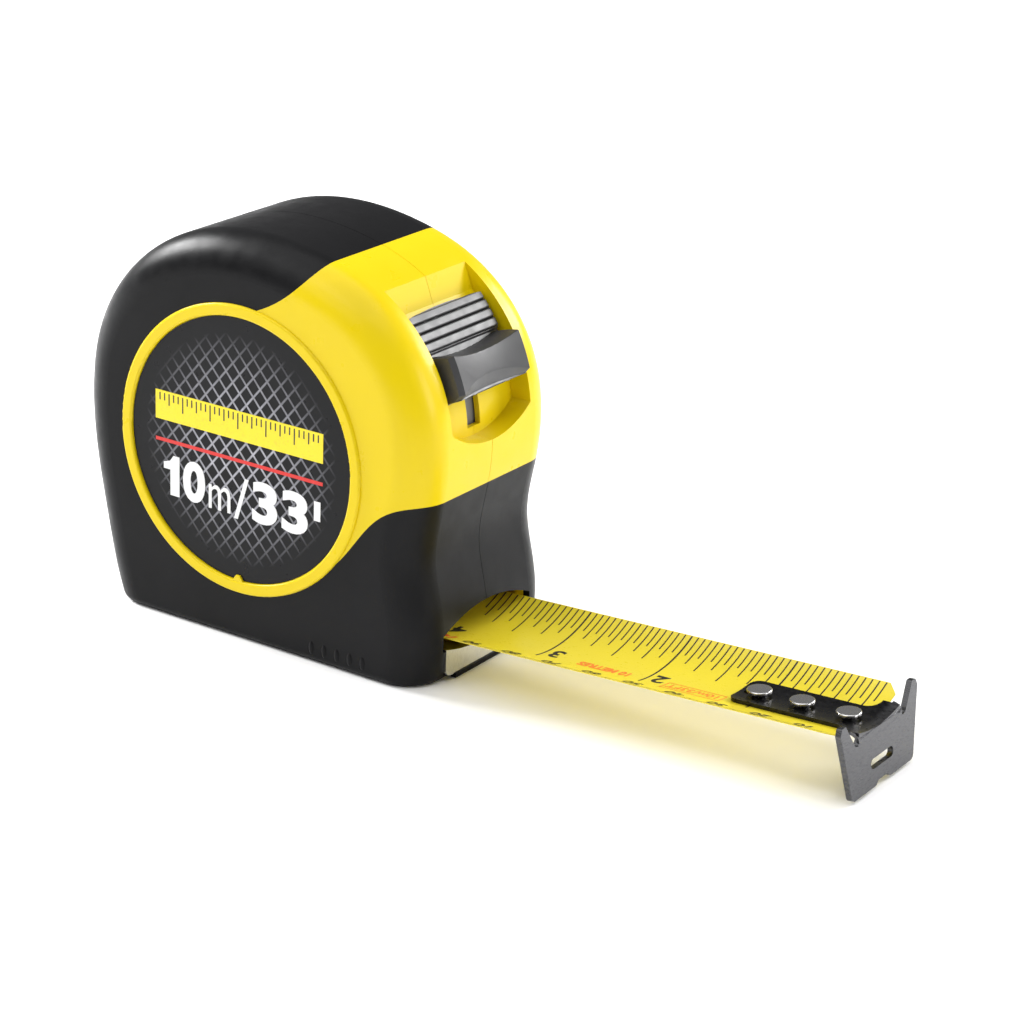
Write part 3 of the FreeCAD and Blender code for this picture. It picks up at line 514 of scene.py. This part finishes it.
# Rows of print, from the middle of the blade. The first inch's digit has a row of its own.
INCH_DIGITS_Y, FIRST_DIGIT_Y, WORDS_Y, METRIC_Y = -3.2, 3.4, -5.2, -10.6
INCH_DIGIT_SHIFT = 2.7                     # how far a digit stands on the hook side of its inch mark
INCH_LETTERING = {"height": 4.6, "bold": 0.16}
METRIC_LETTERING = {"height": 3.0, "bold": 0.1}
INCH_TICKS = (16, 21.4), (8, 11.8), (4, 10.0), (2, 8.2), (1, 5.6)       # sixteenths and mark length
FAR_MARGIN, NEAR_MARGIN = 0.2, 0.15        # gaps between the marks and the blade's edges
TICK_HALF, INCH_TICK_HALF, METRIC_TICK_HALF = 0.15, 0.2, 0.09
METRIC_TICK, FIFTH_TICK = 1.7, 2.4         # where millimetre marks end, from the near edge
FRAME_PEN = 0.24                           # line width of the frame round the length mark
FRAME_BACK, FRAME_AHEAD, FRAME_HALF = 7.5, 6.4, 2.2      # its reach about the inch and a half
FRAME_FILL = 0.86                          # share of the frame's length that the words take
FRAME_LETTERING = {"height": 2.4, "bold": 0.06}
LENGTH_BACK, LENGTH_RISE = 9.6, 0.4        # from the second inch mark and from the row of words
LENGTH_LETTERING = {"height": 2.6, "bold": 0.16, "length": 12.4}
HUNDRED_BACK, HUNDRED_RISE = 98, 0.6       # from the hook's inner face and the metric row
HUNDRED_LETTERING = {"height": 3.4, "bold": 0.16}


def tick_length(sixteenths):
    """Length of a mark by how round a fraction of an inch it stands at."""
    return next(length for step, length in INCH_TICKS if sixteenths % step == 0)


def edge_ticks(ink, first_x, last_x):
    """Sixteenth-inch marks from the far edge, between two distances from the mouth."""
    edge = HALF_WIDTH - FAR_MARGIN
    for number in range(1, 16 * 5):
        x = ZERO - INCH * number / 16
        half = TICK_HALF if number % 16 else INCH_TICK_HALF
        if first_x < x - half and x + half < last_x:
            ink.bar(x - half, x + half, edge - tick_length(number), edge)


def metric_ticks(ink, first_x, last_x):
    """Millimetre marks along the near edge."""
    for number in range(1, 120):
        x = ZERO - number
        length = METRIC_TICK if number % 5 else FIFTH_TICK
        if first_x < x - METRIC_TICK_HALF and x + METRIC_TICK_HALF < last_x:
            ink.bar(x - METRIC_TICK_HALF, x + METRIC_TICK_HALF, -HALF_WIDTH + NEAR_MARGIN,
                    -HALF_WIDTH + length)


def boxed_words(ink, words, x0, x1, low, high):
    """Words inside a thin frame."""
    ink.bar(x0, x1, low, low + FRAME_PEN)
    ink.bar(x0, x1, high - FRAME_PEN, high)
    ink.bar(x0, x0 + FRAME_PEN, low + FRAME_PEN, high - FRAME_PEN)
    ink.bar(x1 - FRAME_PEN, x1, low + FRAME_PEN, high - FRAME_PEN)
    ink.text(words, (x0 + x1) / 2, (low + high) / 2, length=(x1 - x0) * FRAME_FILL, **FRAME_LETTERING)


def inch_digit(ink, inches, y):
    ink.text(str(inches), ZERO - INCH * inches + INCH_DIGIT_SHIFT, y, **INCH_LETTERING)


def print_blade():
    """Marks and numbers on the straight run of the blade."""
    black, orange = Print(), Print()
    edge_ticks(black, STRIP_JOINT, STRIP_END - CORNER)
    metric_ticks(black, STRIP_JOINT, STRIP_END - CORNER)
    for inches in (1, 2, 3):
        inch_digit(black, inches, FIRST_DIGIT_Y if inches == 1 else INCH_DIGITS_Y)
    for tens in range(1, 9):
        black.text(str(10 * tens), ZERO - 10 * tens, METRIC_Y, **METRIC_LETTERING)
    frame_x = ZERO - INCH * 1.5
    boxed_words(orange, "10m/33FT", frame_x - FRAME_BACK, frame_x + FRAME_AHEAD, WORDS_Y - FRAME_HALF,
                WORDS_Y + FRAME_HALF)
    orange.text("10 METRES", ZERO - INCH * 2 - LENGTH_BACK, WORDS_Y + LENGTH_RISE, **LENGTH_LETTERING)
    black.piece("blade_marks", INK)
    orange.piece("blade_length_mark", INK_ORANGE)


def squash_tail(piece):
    """The tail has no room in the case as the blade goes in; here the piece only gets a mesh of its own."""
    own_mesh(piece)


def blade_pieces():
    """The blade, its tail inside the case and the print on both."""
    strip_piece("blade_strip", "blade", STRIP_JOINT, blade_end, 60)
    tail = strip_piece("tail_strip", "blade_tail", TAIL_START, lambda y: STRIP_JOINT, 24)
    squash_tail(tail)
    print_blade()
    marks = Print()
    edge_ticks(marks, TAIL_PRINT_START, STRIP_JOINT)
    metric_ticks(marks, TAIL_PRINT_START, STRIP_JOINT)
    inch_digit(marks, 4, INCH_DIGITS_Y)
    marks.text("90", ZERO - 90, METRIC_Y, **METRIC_LETTERING)
    squash_tail(marks.piece("tail_marks", INK))
    red = Print()
    red.text("100", ZERO - HUNDRED_BACK, METRIC_Y + HUNDRED_RISE, **HUNDRED_LETTERING)
    squash_tail(red.piece("tail_red_marks", INK_RED))


# ---------------------------------------------------------------- hook bend

BEND_HALF = 9.2                            # half the fold's width
BEND_BACK, BEND_DROP = 2.1, 1.9            # how far the fold runs back and down
BEND_THICKNESS = 0.75
BEND_PROUD = 0.04                          # how far the fold stands off the plain CAD corner
ARM_TOP = 0.9                              # arm's upper face above the blade
HOOK_THICKNESS, HOOK_LEAN = 1.3, math.radians(5)


def hook_bend():
    """Rounded fold where the arm turns down into the plate."""
    rows, columns, verts = 14, 40, []
    for inset in (0.0, BEND_THICKNESS):
        for i in range(rows + 1):
            turn = math.pi / 2 * i / rows
            for j in range(columns + 1):
                y = BEND_HALF * (2 * j / columns - 1)
                foot = blade_height(y) + ARM_TOP - BEND_DROP
                front = ZERO + HOOK_THICKNESS - foot * math.sin(HOOK_LEAN) + BEND_PROUD
                reach = BEND_BACK - inset
                rise = BEND_DROP - inset
                x = front - BEND_BACK + reach * math.sin(turn)
                lift = ARM_TOP + BEND_PROUD - BEND_DROP + rise * math.cos(turn)
                verts.append(on_blade(x, y, lift))
    faces = closed_sheet_faces(rows + 1, columns + 1)
    piece = mesh_object("hook_bend", verts, faces, [HOOK], "hook")
    repair_normals(piece)
    sharp_by_angle(piece, 50)


# ---------------------------------------------------------------- case details

TAB_FOOT_HALF, TAB_TIP_HALF = 1.5, 0.5     # half widths of the ring's tab
TAB_SUNK, TAB_REACH = 0.3, 1.1             # how far it runs into the ring and over the label
TAB_LOW, TAB_HIGH = -0.05, 0.5             # its lower and upper faces, from the label's face


def prism(bm, outline, low_z, high_z):
    """Closed solid over a flat outline, between two heights."""
    low = [bm.verts.new((x, y, low_z)) for x, y in outline]
    high = [bm.verts.new((x, y, high_z)) for x, y in outline]
    bm.faces.new(low)
    bm.faces.new(high)
    for k in range(len(low)):
        n = (k + 1) % len(low)
        bm.faces.new((low[k], low[n], high[n], high[k]))


def ring_tab(side_sign, name):
    """Small moulding tab on the inside of the label ring, at its foot."""
    bm = bmesh.new()
    foot, tip = -LABEL_RADIUS - TAB_SUNK, -LABEL_RADIUS + TAB_REACH
    outline = [(-TAB_FOOT_HALF, foot), (TAB_FOOT_HALF, foot), (TAB_TIP_HALF, tip), (-TAB_TIP_HALF, tip)]
    prism(bm, outline, TAB_LOW, TAB_HIGH)
    bmesh.ops.transform(bm, verts=bm.verts, matrix=label_place(side_sign))
    bmesh.ops.recalc_face_normals(bm, faces=bm.faces)
    mesh = bpy.data.meshes.new(name)
    bm.to_mesh(mesh)
    bm.free()
    piece = finish_piece(name, mesh, [YELLOW], "case", smooth=False)
    soften(piece, 0.12)


def soften(piece, width):
    """Rounded edges, in millimetres."""
    bevel = piece.modifiers.new("edges", "BEVEL")
    bevel.width = width * MM
    bevel.segments = 2
    bevel.limit_method = "ANGLE"
    bevel.angle_limit = math.radians(40)


RIB_COUNT, RIB_PITCH, RIB_FIRST_X = 5, 3.4, 20.0
RIB_HEIGHT, RIB_LENGTH, RIB_RADIUS = 3.4, 1.7, 0.75      # middle height, half length and thickness
RIB_SUNK, RIB_FLAT = 0.25, 0.75            # how deep a rib sits in the wall, and how flat it is


def grip_ribs(side_sign, name):
    """Short rounded ribs along the foot of the case side, below the label."""
    wall = side("left_overmould", 0, 1) if side_sign < 0 else side("right_overmould", 1, 1)
    verts, faces = [], []
    rings, around = 10, 16
    for number in range(RIB_COUNT):
        start = len(verts)
        for i in range(rings + 1):
            bend = math.pi * i / rings
            swell = max(0.02, math.sin(bend))
            for j in range(around):
                turn = 2 * math.pi * j / around
                x = RIB_FIRST_X + number * RIB_PITCH + RIB_RADIUS * swell * math.cos(turn)
                y = wall - side_sign * RIB_SUNK + side_sign * RIB_FLAT * RIB_RADIUS * swell * math.sin(turn)
                z = RIB_HEIGHT - RIB_LENGTH * math.cos(bend)
                verts.append(Vector((x, y, z)) * MM)
        for i in range(rings):
            for j in range(around):
                a, b = start + i * around + j, start + i * around + (j + 1) % around
                faces.append((a, b, b + around, a + around))
        faces.append(tuple(range(start, start + around))[::-1])
        faces.append(tuple(range(start + rings * around, start + (rings + 1) * around)))
    piece = mesh_object(name, verts, faces, [RUBBER], "case")
    repair_normals(piece)


# ---------------------------------------------------------------- label print

# Label drawing coordinates run right and up from the label's middle, in millimetres.
RULER_BAR = -0.4, 5.7, 45.6, 6.6           # middle X, middle height, width and height
LINE_BELOW = -0.4, -2.2, 45.6, 0.8
RULER_MARKS = 36                           # divisions along the bar
RULER_TICKS = (6, 3.6), (3, 2.6), (1, 1.7)               # divisions and mark length
RULER_TICK_HALF, RULER_MARGIN = 0.16, 0.5
INK_FILM = 0.06
INK_OVERLAP = 0.03                         # how far one ink stands over the one below
ONE_OUTLINE = [(0.42, 0), (1, 0), (1, 1), (0.62, 1), (0.4, 0.86), (0, 0.8), (0, 0.64), (0.42, 0.64)]
ONE_PLACE = -21.0, -16.6, -14.6, 9.2       # left, right, baseline and height
FEET_MARK = 20.2, 21.9, -10.8, -6.4        # left, right, low and high
# Each glyph: its left, right, baseline, height and boldness.
LENGTH_GLYPHS = [("0", -15.6, -9.4, -14.8, 9.4, 0.5), ("m", -8.4, -2.4, -14.9, 5.6, 0.0),
                 ("/", -1.4, 2.6, -15.6, 9.6, 0.0), ("3", 3.6, 10.4, -15.2, 9.6, 0.5),
                 ("3", 11.6, 18.6, -15.2, 9.6, 0.5)]


def plate_mesh(bm, x0, x1, z0, z1, depth):
    """Thin slab in the XY plane."""
    made = bmesh.ops.create_cube(bm, size=1.0)
    middle = Vector(((x0 + x1) / 2, (z0 + z1) / 2, depth / 2))
    scale = Matrix.Diagonal((x1 - x0, z1 - z0, depth, 1))
    bmesh.ops.transform(bm, verts=made["verts"], matrix=Matrix.Translation(middle) @ scale)


def label_place(side_sign):
    """Matrix from label drawing coordinates (right, up, out) in millimetres to the part's frame."""
    node = "left_label" if side_sign < 0 else "right_label"
    low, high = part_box(node)
    face = low.y if side_sign < 0 else high.y
    centre = Vector(((low.x + high.x) / 2, face, (low.z + high.z) / 2))
    right = Vector((-side_sign, 0, 0))
    out = Vector((0, side_sign, 0))
    turn = Matrix((right, Vector((0, 0, 1)), out)).transposed().to_4x4()
    return Matrix.Translation(centre) @ turn @ Matrix.Scale(MM, 4)


def add_text(bm, words, x0, x1, z, height, bold):
    """Words stretched to run from x0 to x1, with the baseline at z."""
    mesh = text_mesh(words, height, bold, INK_FILM)
    left, right = (limit(v.co.x for v in mesh.vertices) for limit in (min, max))
    low, high = (limit(v.co.y for v in mesh.vertices) for limit in (min, max))
    stretch = Matrix.Diagonal(((x1 - x0) / (right - left), height / (high - low), 1, 1))
    mesh.transform(Matrix.Translation((x0, z, INK_FILM / 2)) @ stretch @ Matrix.Translation((-left, -low, 0)))
    bm.from_mesh(mesh)


def flagged_one(bm):
    """A bold figure one: an upright stroke with a slanting flag."""
    x0, x1, z, height = ONE_PLACE
    prism(bm, [(x0 + (x1 - x0) * u, z + height * v) for u, v in ONE_OUTLINE], 0, INK_FILM)


def bar_edges(bar):
    """Left, right, low and high of a bar given by its middle and size."""
    x, z, width, height = bar
    return x - width / 2, x + width / 2, z - height / 2, z + height / 2


def ruler_tick(bm, at, top, length):
    """One mark of the ruler bar, standing a little over the bar's own ink."""
    tick = bmesh.new()
    plate_mesh(tick, at - RULER_TICK_HALF, at + RULER_TICK_HALF, top - length, top, INK_FILM)
    mesh = bpy.data.meshes.new("tick")
    tick.to_mesh(mesh)
    tick.free()
    mesh.transform(Matrix.Translation((0, 0, INK_OVERLAP)))
    bm.from_mesh(mesh)


def label_print(side_sign, name):
    """Ruler bar, line and tape length on one label."""
    place = label_place(side_sign)
    inks = {"white": INK_WHITE, "yellow": INK_YELLOW, "red": INK_LINE, "black": INK}
    drawings = {colour: bmesh.new() for colour in inks}
    left, right, low, high = bar_edges(RULER_BAR)
    plate_mesh(drawings["yellow"], left, right, low, high, INK_FILM)
    for number in range(1, RULER_MARKS):
        length = next(reach for step, reach in RULER_TICKS if number % step == 0)
        at = left + number * (right - left) / RULER_MARKS
        ruler_tick(drawings["black"], at, high - RULER_MARGIN, length)
    plate_mesh(drawings["red"], *bar_edges(LINE_BELOW), INK_FILM)
    flagged_one(drawings["white"])
    for glyph in LENGTH_GLYPHS:
        add_text(drawings["white"], *glyph)
    plate_mesh(drawings["white"], *FEET_MARK, INK_FILM)
    for colour, bm in drawings.items():
        bmesh.ops.transform(bm, verts=bm.verts, matrix=place)
        bmesh.ops.recalc_face_normals(bm, faces=bm.faces)
        mesh = bpy.data.meshes.new(f"{name}_{colour}")
        bm.to_mesh(mesh)
        bm.free()
        finish_piece(f"{name}_{colour}", mesh, [inks[colour]], "case", smooth=False)


# ---------------------------------------------------------------- lock button

# The button slides on an arc about the lock joint. Radii in millimetres, angles in degrees.
TRACK = Vector(joint("lock_slide")["pos_m"]) / MM
BUTTON_HALF = side("lock_button", 1, 1)
BUTTON_UNDER, BUTTON_DECK = 38.02, 39.2    # radii of its underside and of its deck
BUTTON_TOP, BUTTON_FOOT = 44.4, 14.6       # angles at which it ends
BUTTON_STEP = 0.14                         # angle between rows
TOP_ARCH = 1.5                             # how much lower the top edge is at its ends
RIDGES, RIDGE_PITCH, RIDGE_HEIGHT = 4, 3.1, 0.95
RIDGE_START = BUTTON_TOP - 0.5
RIDGE_SQUARENESS = 9                       # higher is a flatter land and a narrower groove
RIDGE_END, RIDGE_END_FADE = BUTTON_HALF - 0.3, BUTTON_HALF - 0.9
HOLLOW_TOP = BUTTON_TOP - RIDGES * RIDGE_PITCH - 0.7
HOLLOW_DEPTH, HOLLOW_FADE = 0.5, 0.6
LEDGE_HALF, LEDGE_CHAMFER = 12.9, 1.1
LEDGE_RADIUS, LEDGE_DISH = 45.55, 1.5
CHAMFER_SLOPE = 0.9
FACE_TOP, FACE_LOW, CRESCENT = 28.2, 17.6, 2.8
FACE_TOP_BOW = 1.6                         # how much lower the face's top edge is in the middle
BACK_SLOPE = 2.1                           # angle over which the ledge falls back to the deck
LIP_RADIUS, LIP_ANGLE = 43.9, 16.2
LIP_HOLLOW, LIP_ROLL, LIP_RETURN = 0.9, 0.35, 1.2


def blend_step(low, high, value):
    """0 below low, 1 above high, smooth between."""
    t = min(1.0, max(0.0, (value - low) / (high - low)))
    return t * t * (3 - 2 * t)


def ridge_height(angle, y):
    """Broad rounded lands with narrow grooves between them, fading out towards the sides."""
    down = (RIDGE_START - angle) / RIDGE_PITCH
    if not 0 <= down <= RIDGES:
        return 0.0
    off = abs(2 * (down % 1.0) - 1)
    fade = 1 - blend_step(RIDGE_END_FADE, RIDGE_END, abs(y))
    return RIDGE_HEIGHT * (1 - off ** RIDGE_SQUARENESS) * fade


def ledge_radius(angle, bow, deck):
    """Height of the finger ledge: sloping back, dished face, crescent hollow and rolled lip."""
    face = LEDGE_RADIUS - LEDGE_DISH * bow
    top = FACE_TOP - FACE_TOP_BOW * bow
    low = FACE_LOW + CRESCENT * bow
    if angle > top:
        share = 1 - min(1.0, (angle - top) / BACK_SLOPE)
        return deck + (face - deck) * share ** 0.7
    if angle >= low:
        return face
    if angle >= LIP_ANGLE:
        t = (low - angle) / max(0.2, low - LIP_ANGLE)
        return face - (face - LIP_RADIUS + LIP_HOLLOW * bow) * t + LIP_ROLL * blend_step(0.8, 1.0, t)
    return LIP_RADIUS - (LIP_RADIUS - BUTTON_DECK) * min(1.0, (LIP_ANGLE - angle) / LIP_RETURN)


def button_radius(angle, y):
    """Height of the button's face: ridged deck, finger hollow, dished ledge and undercut lip."""
    deck = BUTTON_DECK + ridge_height(angle, y)
    if angle < HOLLOW_TOP:
        deck -= HOLLOW_DEPTH * blend_step(HOLLOW_TOP, HOLLOW_TOP - HOLLOW_FADE, angle)
    if abs(y) > LEDGE_HALF:
        return deck
    across = min(1.0, abs(y) / (LEDGE_HALF - LEDGE_CHAMFER))
    chamfer = max(0.0, abs(y) - (LEDGE_HALF - LEDGE_CHAMFER))
    return max(deck, ledge_radius(angle, 1 - across ** 2, deck) - CHAMFER_SLOPE * chamfer)


def button_angles():
    """Rows from the foot to the top."""
    rows, angle = [], BUTTON_FOOT
    while angle < BUTTON_TOP:
        rows.append(angle)
        angle += BUTTON_STEP
    return rows + [BUTTON_TOP]


def push_button():
    """Lock button as a fine height field over its arc, closed underneath."""
    angles, columns = button_angles(), 132
    ys = [BUTTON_HALF * (2 * j / columns - 1) for j in range(columns + 1)]
    verts = []
    for under in (False, True):
        for angle in angles:
            for y in ys:
                share = (angle - BUTTON_FOOT) / (BUTTON_TOP - BUTTON_FOOT)
                bent = angle - TOP_ARCH * blend_step(0.8, 1.0, share) * (y / BUTTON_HALF) ** 2
                radius = BUTTON_UNDER if under else button_radius(bent, y)
                turn = math.radians(bent)
                verts.append((TRACK + Vector((radius * math.cos(turn), y, radius * math.sin(turn)))) * MM)
    faces = closed_sheet_faces(len(angles), columns + 1)
    piece = mesh_object("push_button", verts, faces, [BUTTON_BLACK], "lock")
    repair_normals(piece)
    sharp_by_angle(piece, 38)
    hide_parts("lock_button")


# ---------------------------------------------------------------- belt clip

CLIP_OUT_HIGH, CLIP_OUT_LOW = 50, 20       # heights between which the strap runs straight
CLIP_KICK = 2.4                            # how far the tip turns outward
CLIP_FOLD = 2.6                            # run of each fold before and after its corner
CLIP_FOLD_STEPS, CLIP_STEP = 6, 1.0
FOOT_CORNER, TIP_CORNER = 4.0, 5.0         # corner radii at the two ends
FOOT_LENGTH = 10.0                         # run over which the foot's corner radius holds


def clip_path():
    """Middle line of the clip's sheet in the end view (Y, Z), in millimetres, from its top end down."""
    foot_y = (side("clip_foot", 0, 1) + side("clip_foot", 1, 1)) / 2
    top, low = side("clip_foot", 1, 2), side("belt_clip", 0, 2)
    tip_y = side("belt_clip", 1, 1) - 0.6
    out = tip_y - CLIP_KICK
    corners = [(foot_y, top), (foot_y, side("clip_foot", 0, 2)), (out, CLIP_OUT_HIGH),
               (out, CLIP_OUT_LOW), (tip_y, low + 0.3)]
    points = [Vector((0, *corners[0]))]
    for before, at, after in zip(corners, corners[1:], corners[2:]):
        p, a, b = (Vector((0, *c)) for c in (at, before, after))
        start, end = p + (a - p).normalized() * CLIP_FOLD, p + (b - p).normalized() * CLIP_FOLD
        for k in range(CLIP_FOLD_STEPS + 1):
            t = k / CLIP_FOLD_STEPS
            points.append((1 - t) ** 2 * start + 2 * t * (1 - t) * p + t * t * end)
    points.append(Vector((0, *corners[-1])))
    return points


def rounded_inset(from_end, radius):
    """How far a rounded corner cuts into the sheet's edge, at a distance from its end."""
    if from_end > radius:
        return 0.0
    return radius - math.sqrt(max(0.0, radius ** 2 - (radius - from_end) ** 2))


def clip_sheet():
    """Bent spring steel clip: a foot screwed to the case and a strap that stands off it."""
    points, rows = clip_path(), []
    for a, b in zip(points, points[1:]):
        steps = max(1, round((b - a).length / CLIP_STEP))
        rows += [a.lerp(b, k / steps) for k in range(steps)]
    rows.append(points[-1])
    half = side("belt_clip", 1, 0)
    thick = side("clip_foot", 1, 1) - side("clip_foot", 0, 1)
    length = [0.0]
    for a, b in zip(rows, rows[1:]):
        length.append(length[-1] + (b - a).length)
    verts, columns = [], 18
    for sheet in (-0.5, 0.5):
        for i, point in enumerate(rows):
            along = (rows[min(i + 1, len(rows) - 1)] - rows[max(i - 1, 0)]).normalized()
            normal = Vector((0, -along.z, along.y))
            from_end = min(length[i], length[-1] - length[i])
            inset = rounded_inset(from_end, FOOT_CORNER if length[i] < FOOT_LENGTH else TIP_CORNER)
            for j in range(columns + 1):
                x = (half - inset) * (2 * j / columns - 1)
                verts.append((point + normal * thick * sheet + Vector((x, 0, 0))) * MM)
    faces = closed_sheet_faces(len(rows), columns + 1)
    piece = mesh_object("clip_sheet", verts, faces, [CLIP], None)
    repair_normals(piece)
    sharp_by_angle(piece, 35)
    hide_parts("clip_foot", "belt_clip")
    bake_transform(piece)


# ---------------------------------------------------------------- stage, light and camera

FLOOR_REACH = 6.0
FLOOR_DROP = 0.00002                       # keeps the floor clear of the case's base


def make_stage():
    """Pale paper floor."""
    floor_material = Paint("floor_paper", (0.93, 0.93, 0.93), 0.7)
    floor_material.roughness(floor_material.vary(floor_material.noise(40, 3), 0.65, 0.75))
    mesh = bpy.data.meshes.new("floor")
    corners = [(FLOOR_REACH * x, FLOOR_REACH * y, 0) for x, y in ((-1, -1), (1, -1), (1, 1), (-1, 1))]
    mesh.from_pydata(corners, [], [(0, 1, 2, 3)])
    mesh.materials.append(floor_material.material)
    floor = bpy.data.objects.new("floor", mesh)
    floor.location.z = -FLOOR_DROP
    bpy.context.scene.collection.objects.link(floor)


def area_light(name, place, target, size, power):
    """Rectangular soft box turned towards a target."""
    data = bpy.data.lights.new(name, "AREA")
    data.shape = "RECTANGLE"
    data.size, data.size_y = size
    data.energy = power
    lamp = bpy.data.objects.new(name, data)
    lamp.location = place
    lamp.rotation_mode = "QUATERNION"
    lamp.rotation_quaternion = (Vector(target) - Vector(place)).to_track_quat("-Z", "Y")
    bpy.context.scene.collection.objects.link(lamp)


def sun(name, direction, strength, spread):
    """Soft sun shining along a direction; its spread is its angular size in degrees."""
    data = bpy.data.lights.new(name, "SUN")
    data.energy = strength
    data.angle = math.radians(spread)
    lamp = bpy.data.objects.new(name, data)
    lamp.rotation_mode = "QUATERNION"
    lamp.rotation_quaternion = Vector(direction).to_track_quat("-Z", "Y")
    bpy.context.scene.collection.objects.link(lamp)


WORLD_STRENGTH = 0.22
SUNS = [("overhead", (0.1, 0.15, -1), 1.6, 70),          # direction, strength and spread
        ("key", (0.35, 0.8, -0.75), 0.5, 40)]
SOFT_BOXES = [("rim_box", (-0.8, -0.05, 0.5), (0.4, 0.26), 14.0),        # place, size and watts
              ("front_box", (0.9, 0.1, 0.35), (0.3, 0.45), 2.4),
              ("back_box", (0.42, 0.72, 0.42), (0.5, 0.35), 7.0)]
LIT_MIDDLE = (0.03, 0, 0.04)               # point that the soft boxes face, in metres


def make_light():
    """Even white surroundings, two soft suns and three soft boxes."""
    world = bpy.data.worlds.new("studio")
    world.use_nodes = True
    background = world.node_tree.nodes["Background"]
    background.inputs["Color"].default_value = (1, 1, 1, 1)
    background.inputs["Strength"].default_value = WORLD_STRENGTH
    bpy.context.scene.world = world
    for name, direction, strength, spread in SUNS:
        sun(name, direction, strength, spread)
    for name, place, size, power in SOFT_BOXES:
        area_light(name, place, LIT_MIDDLE, size, power)
    bpy.context.scene.view_settings.view_transform = "Standard"


AZIMUTH, ELEVATION, ROLL = (math.radians(a) for a in (33.47, 21.17, 2.20))
CAMERA_DISTANCE = 0.63641                  # from its target, in metres
CAMERA_TARGET = Vector((0.05377, 0.00046, 0.03549))
CAMERA_LENS, CAMERA_SENSOR = 105.98, 36


def make_camera():
    """Long lens, looking down at the label side from ahead of the mouth."""
    back = Vector((math.sin(AZIMUTH) * math.cos(ELEVATION), -math.cos(AZIMUTH) * math.cos(ELEVATION),
                   math.sin(ELEVATION)))
    level = Vector((math.cos(AZIMUTH), math.sin(AZIMUTH), 0))
    upright = back.cross(level)
    right = math.cos(ROLL) * level + math.sin(ROLL) * upright
    up = -math.sin(ROLL) * level + math.cos(ROLL) * upright
    data = bpy.data.cameras.new("camera")
    data.sensor_width = CAMERA_SENSOR
    data.lens = CAMERA_LENS
    data.clip_start, data.clip_end = 0.05, 20
    camera = bpy.data.objects.new("camera", data)
    turn = Matrix((right, up, back)).transposed()
    camera.matrix_world = Matrix.Translation(CAMERA_TARGET + back * CAMERA_DISTANCE) @ turn.to_4x4()
    bpy.context.scene.collection.objects.link(camera)
    bpy.context.scene.camera = camera


finish_cad_nodes()
blade_pieces()
label_print(-1, "left_print")
label_print(1, "right_print")
hook_bend()
for way, word in ((-1, "left"), (1, "right")):
    ring_tab(way, word + "_ring_tab")
    grip_ribs(way, word + "_grip_ribs")
push_button()
clip_sheet()
make_stage()
make_light()
make_camera()
